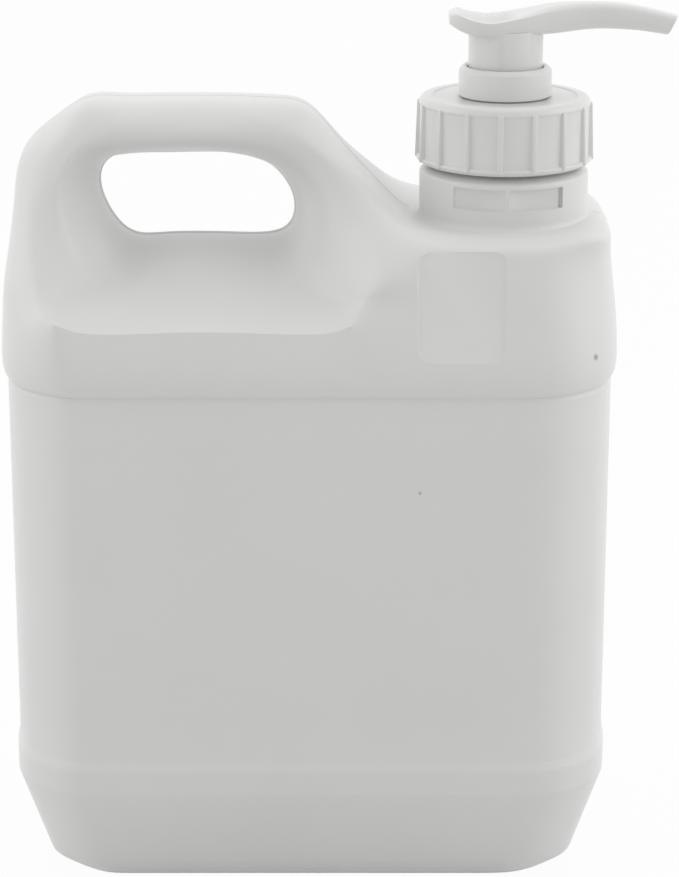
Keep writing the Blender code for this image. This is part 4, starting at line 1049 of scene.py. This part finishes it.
def moulded_plastic(name, code, roughness, grain, wave, marks=()):
    """Moulded plastic: colour clouds, an uneven gloss, mould grain and a slow wave.

    Grain and wave are each (size, depth) in metres.
    """
    material, tree, shader, place = start_material(name)
    colour = Vector(linear(code)[:3])
    tint = add_node(
        tree, "ShaderNodeMix", [("Factor", noise(tree, place, CLOUD_SIZE, 3.0))],
        {"A": (*(colour * 0.975), 1.0), "B": (*(colour * 1.02), 1.0)}, data_type="RGBA",
    )
    painted = tint.outputs["Result"]
    for centre, radius, strength in marks:
        painted = dark_mark(tree, place, painted, centre, radius, strength)
    tree.links.new(painted, shader.inputs["Base Color"])
    patches = noise(tree, place, GLOSS_SIZE, 4.0)
    uneven_gloss(tree, shader, patches, roughness - GLOSS_RANGE, roughness + GLOSS_RANGE)
    broad = relief(tree, noise(tree, place, wave[0], 1.0), wave[1])
    fine = relief(tree, noise(tree, place, grain[0], 2.0), grain[1], [("Normal", broad)])
    tree.links.new(fine, shader.inputs["Normal"])
    return material


def drawn_steel(name, code):
    """Stainless wire and balls: bright metal with fine drawing lines."""
    material, tree, shader, place = start_material(name)
    shader.inputs["Metallic"].default_value = 1.0
    shader.inputs["Base Color"].default_value = linear(code)
    uneven_gloss(tree, shader, noise(tree, place, DRAWN_SIZE, 2.0), 0.18, 0.34)
    return material


finishes = {}


class DISPENSER_OT_finishes(bpy.types.Operator):
    """Make the materials and give the carried-over solids theirs"""

    bl_idname = "dispenser.finishes"
    bl_label = "Finishes"

    def execute(self, context):
        shade = colours()
        # Extrusion blow-moulded HDPE: satin from a blasted mould, its wall a little
        # uneven, so highlights on it run soft and slightly wavy
        finishes["shell"] = moulded_plastic(
            "Blown natural polyethylene", shade.jug, 0.40,
            (0.0006, 0.000006), (0.016, 0.00012), JUG_MARKS,
        )
        # Injection-moulded PP: tighter and glossier than the jug, with crisp edges
        finishes["moulded"] = moulded_plastic(
            "Moulded polypropylene", shade.pump, 0.30, (0.0004, 0.000003), (0.012, 0.00003)
        )
        # Closed-cell PE foam: matt, with fine cells
        finishes["foam"] = moulded_plastic(
            "Cell foam", shade.foam, 0.75, (0.0003, 0.00004), (0.010, 0.00002)
        )
        # Extruded LDPE: milky and smooth
        finishes["milky"] = moulded_plastic(
            "Extruded milky polyethylene", shade.tube, 0.28, (0.0008, 0.000004), (0.020, 0.00005)
        )
        # Drawn stainless steel: bright with a soft spread
        finishes["steel"] = drawn_steel("Drawn stainless steel", shade.steel)
        slots = {part["node"]: part["material_slot"] for part in frame["record"]["subparts"]}
        for name, node in frame["nodes"].items():
            node.data.materials.clear()
            node.data.materials.append(finishes[slots[name]])
        return {"FINISHED"}


# The jug


def smoothed_skin(name):
    skin = link_mesh(name, jug_skin_mesh())
    apply_modifier(skin, "SUBSURF", levels=sizes().smoothing)
    return skin


def cut_box(name, width, depth, height, corner, rim):
    """Cutter whose corners along Y are rounded, with a small round on its inner rim."""
    deselect_all()
    bpy.ops.mesh.primitive_cube_add(size=1.0, location=(0.0, 0.0, 0.0))
    piece = bpy.context.object
    piece.name = name
    piece.scale = (width, depth, height)
    settle(piece)
    mesh = bmesh.new()
    mesh.from_mesh(piece.data)
    along = [e for e in mesh.edges if abs(e.verts[0].co.y - e.verts[1].co.y) > 0.5 * depth]
    bmesh.ops.bevel(mesh, geom=along, offset=corner, segments=6, affect="EDGES", profile=0.5)
    inner = [e for e in mesh.edges if all(v.co.y > 0.5 * depth - TOUCHING for v in e.verts)]
    bmesh.ops.bevel(mesh, geom=inner, offset=rim, segments=2, affect="EDGES", profile=0.5)
    mesh.to_mesh(piece.data)
    mesh.free()
    return piece


class DISPENSER_OT_jug(bpy.types.Operator):
    """Blow the jug with its handle, press its panel and cut its neck"""

    bl_idname = "dispenser.jug"
    bl_label = "Jug"

    def execute(self, context):
        jug = smoothed_skin("jug")
        self.press_panel(jug)
        apply_modifier(jug, "SOLIDIFY", thickness=sizes().wall, offset=-1.0)
        neck = turn_outline("neck", round_corners(neck_profile(), NECK_ROUND), NECK_STEPS)
        carve(jug, neck, "UNION")
        high = NECK_RIM + BORE_ABOVE
        low = PLATFORM_HEIGHT - BORE_BELOW
        bore = [(0.0, high), (NECK_BORE_RADIUS, high), (NECK_BORE_RADIUS, low), (0.0, low)]
        carve(jug, turn_outline("bore", bore, NECK_STEPS), "DIFFERENCE")
        self.cut_flats(jug)
        finish_piece(jug, "jug", "shell", "jug_shell", angle=32.0)
        return {"FINISHED"}

    def press_panel(self, jug):
        cutter = cut_box(
            "panel", PANEL_WIDTH, PANEL_CUTTER, PANEL_HEIGHT, PANEL_CORNER, PANEL_RIM
        )
        drop = face_depth(BAND_HEIGHT) - face_depth(PLATFORM_HEIGHT)
        lean = math.atan2(drop, PLATFORM_HEIGHT - BAND_HEIGHT)
        reach = 0.5 * PANEL_CUTTER - PANEL_DEPTH
        cutter.rotation_euler = (-lean, 0.0, 0.0)
        cutter.location = (
            PANEL_CENTRE_X,
            -face_depth(PANEL_CENTRE_Z) - reach * math.cos(lean),
            PANEL_CENTRE_Z + reach * math.sin(lean),
        )
        carve(jug, cutter, "DIFFERENCE")

    def cut_flats(self, jug):
        notches = [(angle, FLAT_WIDTH) for angle in FLAT_ANGLES] + [(SLOT_ANGLE, SLOT_WIDTH)]
        for turn in (0.0, 180.0):
            for angle, width in notches:
                notch = cut_box("flat", width, FLAT_WIDTH, FLAT_HEIGHT, FLAT_CORNER, FLAT_RIM)
                heading = math.radians(turn + angle)
                reach = FLAT_REACH + 0.5 * FLAT_WIDTH
                notch.rotation_euler = (0.0, 0.0, heading)
                notch.location = (
                    NECK_X + reach * math.sin(heading),
                    -reach * math.cos(heading),
                    FLAT_BOTTOM + 0.5 * FLAT_HEIGHT,
                )
                carve(jug, notch, "DIFFERENCE")


class DISPENSER_OT_parting_line(bpy.types.Operator):
    """Run the fine parting line round the jug and the trimmed flash round its hole"""

    bl_idname = "dispenser.parting_line"
    bl_label = "Parting line"

    def execute(self, context):
        skin = smoothed_skin("skin")
        bpy.ops.object.mode_set(mode="EDIT")
        bpy.ops.mesh.select_all(action="SELECT")
        bpy.ops.mesh.bisect(plane_co=(0.0, 0.0, 0.0), plane_no=(0.0, 1.0, 0.0))
        bpy.ops.object.mode_set(mode="OBJECT")
        cut = bmesh.new()
        cut.from_mesh(skin.data)
        off = [v for v in cut.verts if abs(v.co.y) > ON_PLANE]
        bmesh.ops.delete(cut, geom=off, context="VERTS")
        lines = [self.ribbon(loop) for loop in self.loops(cut)]
        cut.free()
        bpy.data.objects.remove(skin, do_unlink=True)
        finish_piece(join(lines, "parting_line"), "jug", "shell")
        return {"FINISHED"}

    def loops(self, cut):
        """The mould's plane cuts the skin in one loop outside and one in the hole."""
        left = set(cut.verts)
        found = []
        while left:
            here = left.pop()
            loop = [here.co.copy()]
            while True:
                onward = [e.other_vert(here) for e in here.link_edges]
                onward = [v for v in onward if v in left]
                if not onward:
                    break
                here = onward[0]
                left.discard(here)
                loop.append(here.co.copy())
            if len(loop) > SHORTEST_LOOP:
                found.append(loop)
        return found

    def ribbon(self, loop):
        """A low diamond-section line along the loop, half sunk in the wall."""
        low, high = HOLE_LEFT - HOLE_MARGIN, HOLE_RIGHT + HOLE_MARGIN
        in_hole = all(low < point.x < high for point in loop)
        half = 0.5 * (sizes().flash_width if in_hole else sizes().parting_width)
        side = Vector((0.0, 1.0, 0.0))
        mesh = bmesh.new()
        rings = []
        count = len(loop)
        shown = [not self.buried(point) for point in loop]
        for n, point in enumerate(loop):
            along = (loop[(n + 1) % count] - loop[n - 1]).normalized()
            out = along.cross(side)
            corners = (side * PARTING_SPREAD, out, side * -PARTING_SPREAD, -out)
            rings.append([mesh.verts.new(point + half * corner) for corner in corners])
        for n in range(count):
            onward = (n + 1) % count
            if shown[n] and shown[onward]:
                bridge(mesh, rings[n], rings[onward])
            elif shown[n]:
                mesh.faces.new(rings[n])
            elif shown[onward]:
                mesh.faces.new(rings[onward])
        loose = [vert for vert in mesh.verts if not vert.link_faces]
        bmesh.ops.delete(mesh, geom=loose, context="VERTS")
        bmesh.ops.recalc_face_normals(mesh, faces=mesh.faces)
        return link_mesh("line", mesh)

    def buried(self, point):
        """Under the base, or where the neck stands on the platform."""
        by_neck = abs(point.x - NECK_X) < NECK_RING_RADIUS + 0.5 * NECK_FLARE
        on_platform = by_neck and point.z > PLATFORM_HEIGHT - BORE_BELOW
        return point.z < BASE_HIDDEN or on_platform


class DISPENSER_OT_neck_thread(bpy.types.Operator):
    """Wind the thread on the neck that the closure turns on"""

    bl_idname = "dispenser.neck_thread"
    bl_label = "Neck thread"

    def execute(self, context):
        start = NECK_RING_TOP + NECK_LEDGE_RISE + THREAD_START
        root = NECK_ROOT_RADIUS - THREAD_SUNK
        last = THREAD_STEPS * THREAD_TURNS
        rings = []
        for n in range(int(last) + 1):
            angle = FULL_TURN * n / THREAD_STEPS
            rise = start + sizes().thread_pitch * n / THREAD_STEPS
            fade = max(0.0, min(1.0, n / THREAD_FADE, (last - n) / THREAD_FADE))
            crest = NECK_ROOT_RADIUS + THREAD_SHOWN + THREAD_HEIGHT * fade
            section = (
                (root, -THREAD_FOOT), (crest, -THREAD_CREST), (crest, THREAD_CREST),
                (root, THREAD_FOOT),
            )
            rings.append([
                (NECK_X + radius * math.cos(angle), radius * math.sin(angle), rise + up)
                for radius, up in section
            ])
        finish_piece(loft("neck_thread", rings), "jug", "shell")
        return {"FINISHED"}


# The closure and the collar


class DISPENSER_OT_closure(bpy.types.Operator):
    """Turn the screw closure and set its grip ribs round it"""

    bl_idname = "dispenser.closure"
    bl_label = "Screw closure"

    def execute(self, context):
        inner = CAP_PANEL_RADIUS - CAP_WALL
        outer = CAP_PANEL_RADIUS + CAP_RIB_PROUD
        rim = CAP_PANEL_RADIUS + 0.4 * CAP_RIB_PROUD
        rib_top = CAP_TOP - CAP_RIM_HEIGHT
        chamfer_in, chamfer_up = CAP_FOOT_CHAMFER
        outline = [
            (CAP_HOLE_RADIUS, CAP_RECESS), (CAP_RECESS_RADIUS - CAP_EASE, CAP_RECESS),
            (CAP_RECESS_RADIUS, CAP_TOP), (rim - CAP_RIM_ROUND, CAP_TOP),
            (rim - 0.30 * CAP_RIM_ROUND, CAP_TOP - 0.30 * CAP_RIM_ROUND),
            (rim, CAP_TOP - CAP_RIM_ROUND), (rim, rib_top),
            (CAP_PANEL_RADIUS, rib_top - CAP_EASE),
            (CAP_PANEL_RADIUS, CAP_BOTTOM + CAP_BAND_HEIGHT + CAP_DRAFT),
            (outer, CAP_BOTTOM + CAP_BAND_HEIGHT), (outer + CAP_DRAFT, CAP_BOTTOM + chamfer_up),
            (outer - chamfer_in, CAP_BOTTOM), (inner, CAP_BOTTOM), (inner, CAP_UNDERSIDE),
            (CAP_HOLE_RADIUS, CAP_UNDERSIDE),
        ]
        cap = turn_outline("closure", round_corners(outline, CAP_ROUND, 2), CAP_STEPS)
        carve(cap, self.ribs(rib_top), "UNION")
        finish_piece(cap, "closure", "moulded", "screw_cap", angle=40.0)
        return {"FINISHED"}

    def ribs(self, rib_top):
        """One rounded, slightly tapered rib, copied round the closure."""
        deselect_all()
        low = CAP_BOTTOM + 0.5 * CAP_BAND_HEIGHT
        high = rib_top + CAP_RIB_JOIN
        middle = 0.5 * (low + high)
        bpy.ops.mesh.primitive_cube_add(size=1.0)
        rib = bpy.context.object
        rib.scale = (2.0 * CAP_RIB_PROUD, CAP_RIB_WIDTH, high - low)
        rib.location = (CAP_PANEL_RADIUS, 0.0, middle)
        settle(rib)
        for vert in rib.data.vertices:
            if vert.co.x > CAP_PANEL_RADIUS:
                vert.co.y *= CAP_RIB_CROWN
                vert.co.x += CAP_RIB_FOOT if vert.co.z < middle else 0.0
        apply_modifier(rib, "BEVEL", width=CAP_RIB_ROUND, segments=3)
        axis = Matrix.Translation((NECK_X, 0.0, 0.0))
        first = math.radians(CAP_RIB_PHASE) - 0.5 * math.pi
        copies = []
        for n in range(CAP_RIB_COUNT):
            copy = link_data("ribs", rib.data.copy())
            angle = first + FULL_TURN * n / CAP_RIB_COUNT
            copy.matrix_world = axis @ Matrix.Rotation(angle, 4, "Z")
            copies.append(copy)
        bpy.data.objects.remove(rib, do_unlink=True)
        return join(copies, "ribs")


class DISPENSER_OT_collar(bpy.types.Operator):
    """Turn the locking collar that the head drops into"""

    bl_idname = "dispenser.collar"
    bl_label = "Locking collar"

    def execute(self, context):
        mouth = COLLAR_RADIUS - COLLAR_CHAMFER
        outline = [
            (CUP_RADIUS, COLLAR_TOP - CAP_EASE), (mouth, COLLAR_TOP),
            (COLLAR_RADIUS, COLLAR_TOP - COLLAR_CHAMFER), (COLLAR_RADIUS, COLLAR_BOTTOM),
            (CUP_OUTER_RADIUS, COLLAR_BOTTOM), (CUP_OUTER_RADIUS, COLLAR_FLOOR_BOTTOM),
            (PLUG_OUTER, COLLAR_FLOOR_BOTTOM), (PLUG_OUTER, PLUG_BOTTOM),
            (PLUG_INNER, PLUG_BOTTOM), (PLUG_INNER, COLLAR_FLOOR_BOTTOM),
            (STEM_HOLE, COLLAR_FLOOR_BOTTOM), (STEM_HOLE, COLLAR_FLOOR_TOP),
            (CUP_RADIUS, COLLAR_FLOOR_TOP),
        ]
        collar = turn_outline("collar", round_corners(outline, COLLAR_ROUND), CAP_STEPS)
        finish_piece(collar, "pump", "moulded", "lock_collar")
        return {"FINISHED"}


class DISPENSER_OT_head(bpy.types.Operator):
    """Shape the pump's head: thumb dish, spout, skirt and flow channel"""

    bl_idname = "dispenser.head"
    bl_label = "Pump head"

    def execute(self, context):
        head = loft("head", self.spout_rings())
        roof = HEAD_UNDERSIDE + HEAD_ROOF
        ceiling = HEAD_UNDERSIDE - SKIRT_CEILING
        socket = STEM_RADIUS + SLIDE_GAP
        channel = CHANNEL_RADIUS + CHANNEL_EASE
        outline = [
            (SKIRT_RADIUS, roof), (SKIRT_RADIUS, SKIRT_BOTTOM),
            (SKIRT_RADIUS - SKIRT_WALL, SKIRT_BOTTOM), (SKIRT_RADIUS - SKIRT_WALL, ceiling),
            (socket + SOCKET_WALL, ceiling), (socket + SOCKET_WALL, SKIRT_BOTTOM + SKIRT_ENTRY),
            (socket, SKIRT_BOTTOM + SKIRT_ENTRY), (socket, STEM_TOP + SLIDE_GAP),
            (channel, STEM_TOP + SLIDE_GAP), (channel, roof),
        ]
        skirt = turn_outline("skirt", round_corners(outline, SKIRT_ROUND, 2), CAP_STEPS)
        carve(head, skirt, "UNION")
        carve(head, self.channel(), "DIFFERENCE")
        finish_piece(head, "plunger", "moulded", "actuator_head", angle=38.0)
        return {"FINISHED"}

    def spout_rings(self):
        """Rings along the head, which lean forward where the tip is cut at a slant."""
        rings = []
        for n in range(SPOUT_RINGS + 1):
            share = n / SPOUT_RINGS
            x = HEAD_LEFT + share * (SPOUT_TIP_X - HEAD_LEFT)
            past = max(0.0, share - CUT_START) / (1.0 - CUT_START)
            rings.append(spout_section(x, -past * SPOUT_CUT / SPOUT_TIP_HEIGHT))
        return rings

    def channel(self):
        """Round bar that cuts the flow channel, from the stem to past the tip."""
        tip = SPOUT_TIP_X - NECK_X
        route = (
            (0.0, STEM_TOP - HEAD_UNDERSIDE - 0.0010), (0.0, 0.0008), (0.0009, 0.0022),
            (0.0030, 0.0031), (0.0108, 0.0036), (0.0208, 0.0043), (0.0300, 0.0038),
            (tip - 0.0020, 0.0024), (tip + 0.0030, 0.0013),
        )
        curve = bpy.data.curves.new("channel", "CURVE")
        curve.dimensions = "3D"
        curve.bevel_depth = CHANNEL_RADIUS
        curve.bevel_resolution = 4
        curve.use_fill_caps = True
        line = curve.splines.new("POLY")
        line.points.add(len(route) - 1)
        for point, (x, rise) in zip(line.points, route):
            point.co = (NECK_X + x, 0.0, HEAD_UNDERSIDE + rise, 1.0)
        pick(link_data("channel", curve))
        bpy.ops.object.convert(target="MESH")
        return bpy.context.object


# The stage


def seen_directly(tree):
    """1 for rays from the camera, and for those that a surface mirrors or lets through."""
    path = add_node(tree, "ShaderNodeLightPath")
    seen = path.outputs["Is Camera Ray"]
    for kind in ("Is Glossy Ray", "Is Transmission Ray"):
        either = add_node(
            tree, "ShaderNodeMath", [(0, seen), (1, path.outputs[kind])], operation="MAXIMUM"
        )
        seen = either.outputs["Value"]
    return seen
def mix_surface(tree, share, first, second, output):
    """Show the second shader for this share of the rays, and the first for the rest."""
    mix = add_node(tree, "ShaderNodeMixShader", [(0, share), (1, first), (2, second)])
    tree.links.new(mix.outputs["Shader"], tree.nodes[output].inputs["Surface"])

class DISPENSER_OT_studio(bpy.types.Operator):
    """Set out the pale floor, the soft lamps and the camera"""

    bl_idname = "dispenser.studio"
    bl_label = "Studio"

    def execute(self, context):
        self.floor()
        self.world()
        self.lamp("right", studio().right_power, SIDE_LAMP, RIGHT_LAMP_PLACE)
        self.lamp("left", studio().left_power, SIDE_LAMP, LEFT_LAMP_PLACE)
        self.lamp("overhead", studio().top_power, TOP_LAMP, TOP_LAMP_PLACE)
        self.camera()
        return {"FINISHED"}

    def floor(self):
        deselect_all()
        bpy.ops.mesh.primitive_plane_add(size=FLOOR_SIZE, location=(0.0, 0.0, -FLOOR_GAP))
        floor = bpy.context.object
        floor.name = "floor"
        settle(floor)
        material, tree, shader, _ = start_material("Pale paper sweep")
        shader.inputs["Base Color"].default_value = linear(studio().floor)
        shader.inputs["Roughness"].default_value = 0.9
        white = add_node(tree, "ShaderNodeEmission", (), {"Color": WHITE, "Strength": 1.0})
        share = add_node(
            tree, "ShaderNodeMath", [(0, seen_directly(tree))], {1: FLOOR_WHITE},
            operation="MULTIPLY",
        )
        mix_surface(
            tree, share.outputs["Value"], shader.outputs["BSDF"], white.outputs["Emission"],
            "Material Output",
        )
        floor.data.materials.append(material)

    def world(self):
        """Soft light from all round, a little stronger on the side that it leans to."""
        world = bpy.data.worlds.new("Even studio")
        world.use_nodes = True
        tree = world.node_tree
        even = tree.nodes["Background"]
        even.inputs["Color"].default_value = WHITE
        way = add_node(tree, "ShaderNodeTexCoord").outputs["Generated"]
        lean = add_node(
            tree, "ShaderNodeVectorMath", [(0, way)], {1: studio().lean}, operation="DOT_PRODUCT"
        )
        level = add_node(
            tree, "ShaderNodeMath", [(0, lean.outputs["Value"])], {1: studio().sky},
            operation="ADD",
        )
        tree.links.new(level.outputs["Value"], even.inputs["Strength"])
        white = add_node(tree, "ShaderNodeBackground", (), {"Color": WHITE, "Strength": 1.0})
        mix_surface(
            tree, seen_directly(tree), even.outputs["Background"], white.outputs["Background"],
            "World Output",
        )
        bpy.context.scene.world = world

    def lamp(self, name, power, size, place):
        lamp = bpy.data.lights.new(name, "AREA")
        lamp.energy = power
        lamp.size = size
        holder = link_data(name, lamp)
        holder.location = place
        aim = Vector(LAMP_AIM) - Vector(place)
        holder.rotation_euler = aim.to_track_quat("-Z", "Y").to_euler()

    def camera(self):
        lens = bpy.data.cameras.new("camera")
        lens.sensor_fit = "VERTICAL"
        lens.sensor_height = SENSOR
        lens.sensor_width = SENSOR
        lens.lens = FOCAL_PIXELS * SENSOR / PHOTO_HEIGHT
        holder = link_data("camera", lens)
        pitch = studio().pitch
        reach = studio().distance
        holder.location = (
            AIM_X, -reach * math.cos(pitch), AIM_HEIGHT + reach * math.sin(pitch)
        )
        holder.rotation_euler = (0.5 * math.pi - pitch, 0.0, 0.0)
        bpy.context.scene.camera = holder
        bpy.context.scene.view_settings.view_transform = "Standard"


class DISPENSER_PT_jug(bpy.types.Panel):
    """Buttons for the jug's pieces, in the order they are built"""

    bl_idname = "DISPENSER_PT_jug"
    bl_label = "Shampoo Dispenser Jug"
    bl_space_type = "VIEW_3D"
    bl_region_type = "UI"
    bl_category = "Jug"

    def draw(self, context):
        for step in STEPS:
            self.layout.operator(step.bl_idname)
        for group in (sizes(), colours(), studio()):
            box = self.layout.box()
            for name in group.__annotations__:
                box.prop(group, name)


STEPS = (
    DISPENSER_OT_studio,
    DISPENSER_OT_finishes,
    DISPENSER_OT_jug,
    DISPENSER_OT_parting_line,
    DISPENSER_OT_neck_thread,
    DISPENSER_OT_closure,
    DISPENSER_OT_collar,
    DISPENSER_OT_head,
)
CLASSES = (JugSizes, FinishColours, StudioSettings, *STEPS, DISPENSER_PT_jug)


def register():
    for item in CLASSES:
        bpy.utils.register_class(item)
    bpy.types.Scene.jug_sizes = bpy.props.PointerProperty(type=JugSizes)
    bpy.types.Scene.jug_colours = bpy.props.PointerProperty(type=FinishColours)
    bpy.types.Scene.jug_studio = bpy.props.PointerProperty(type=StudioSettings)


def unregister():
    del bpy.types.Scene.jug_studio
    del bpy.types.Scene.jug_colours
    del bpy.types.Scene.jug_sizes
    for item in reversed(CLASSES):
        bpy.utils.unregister_class(item)


def main():
    register()
    for step in STEPS:
        area, name = step.bl_idname.split(".")
        getattr(getattr(bpy.ops, area), name)()


if __name__ == "__main__":
    main()
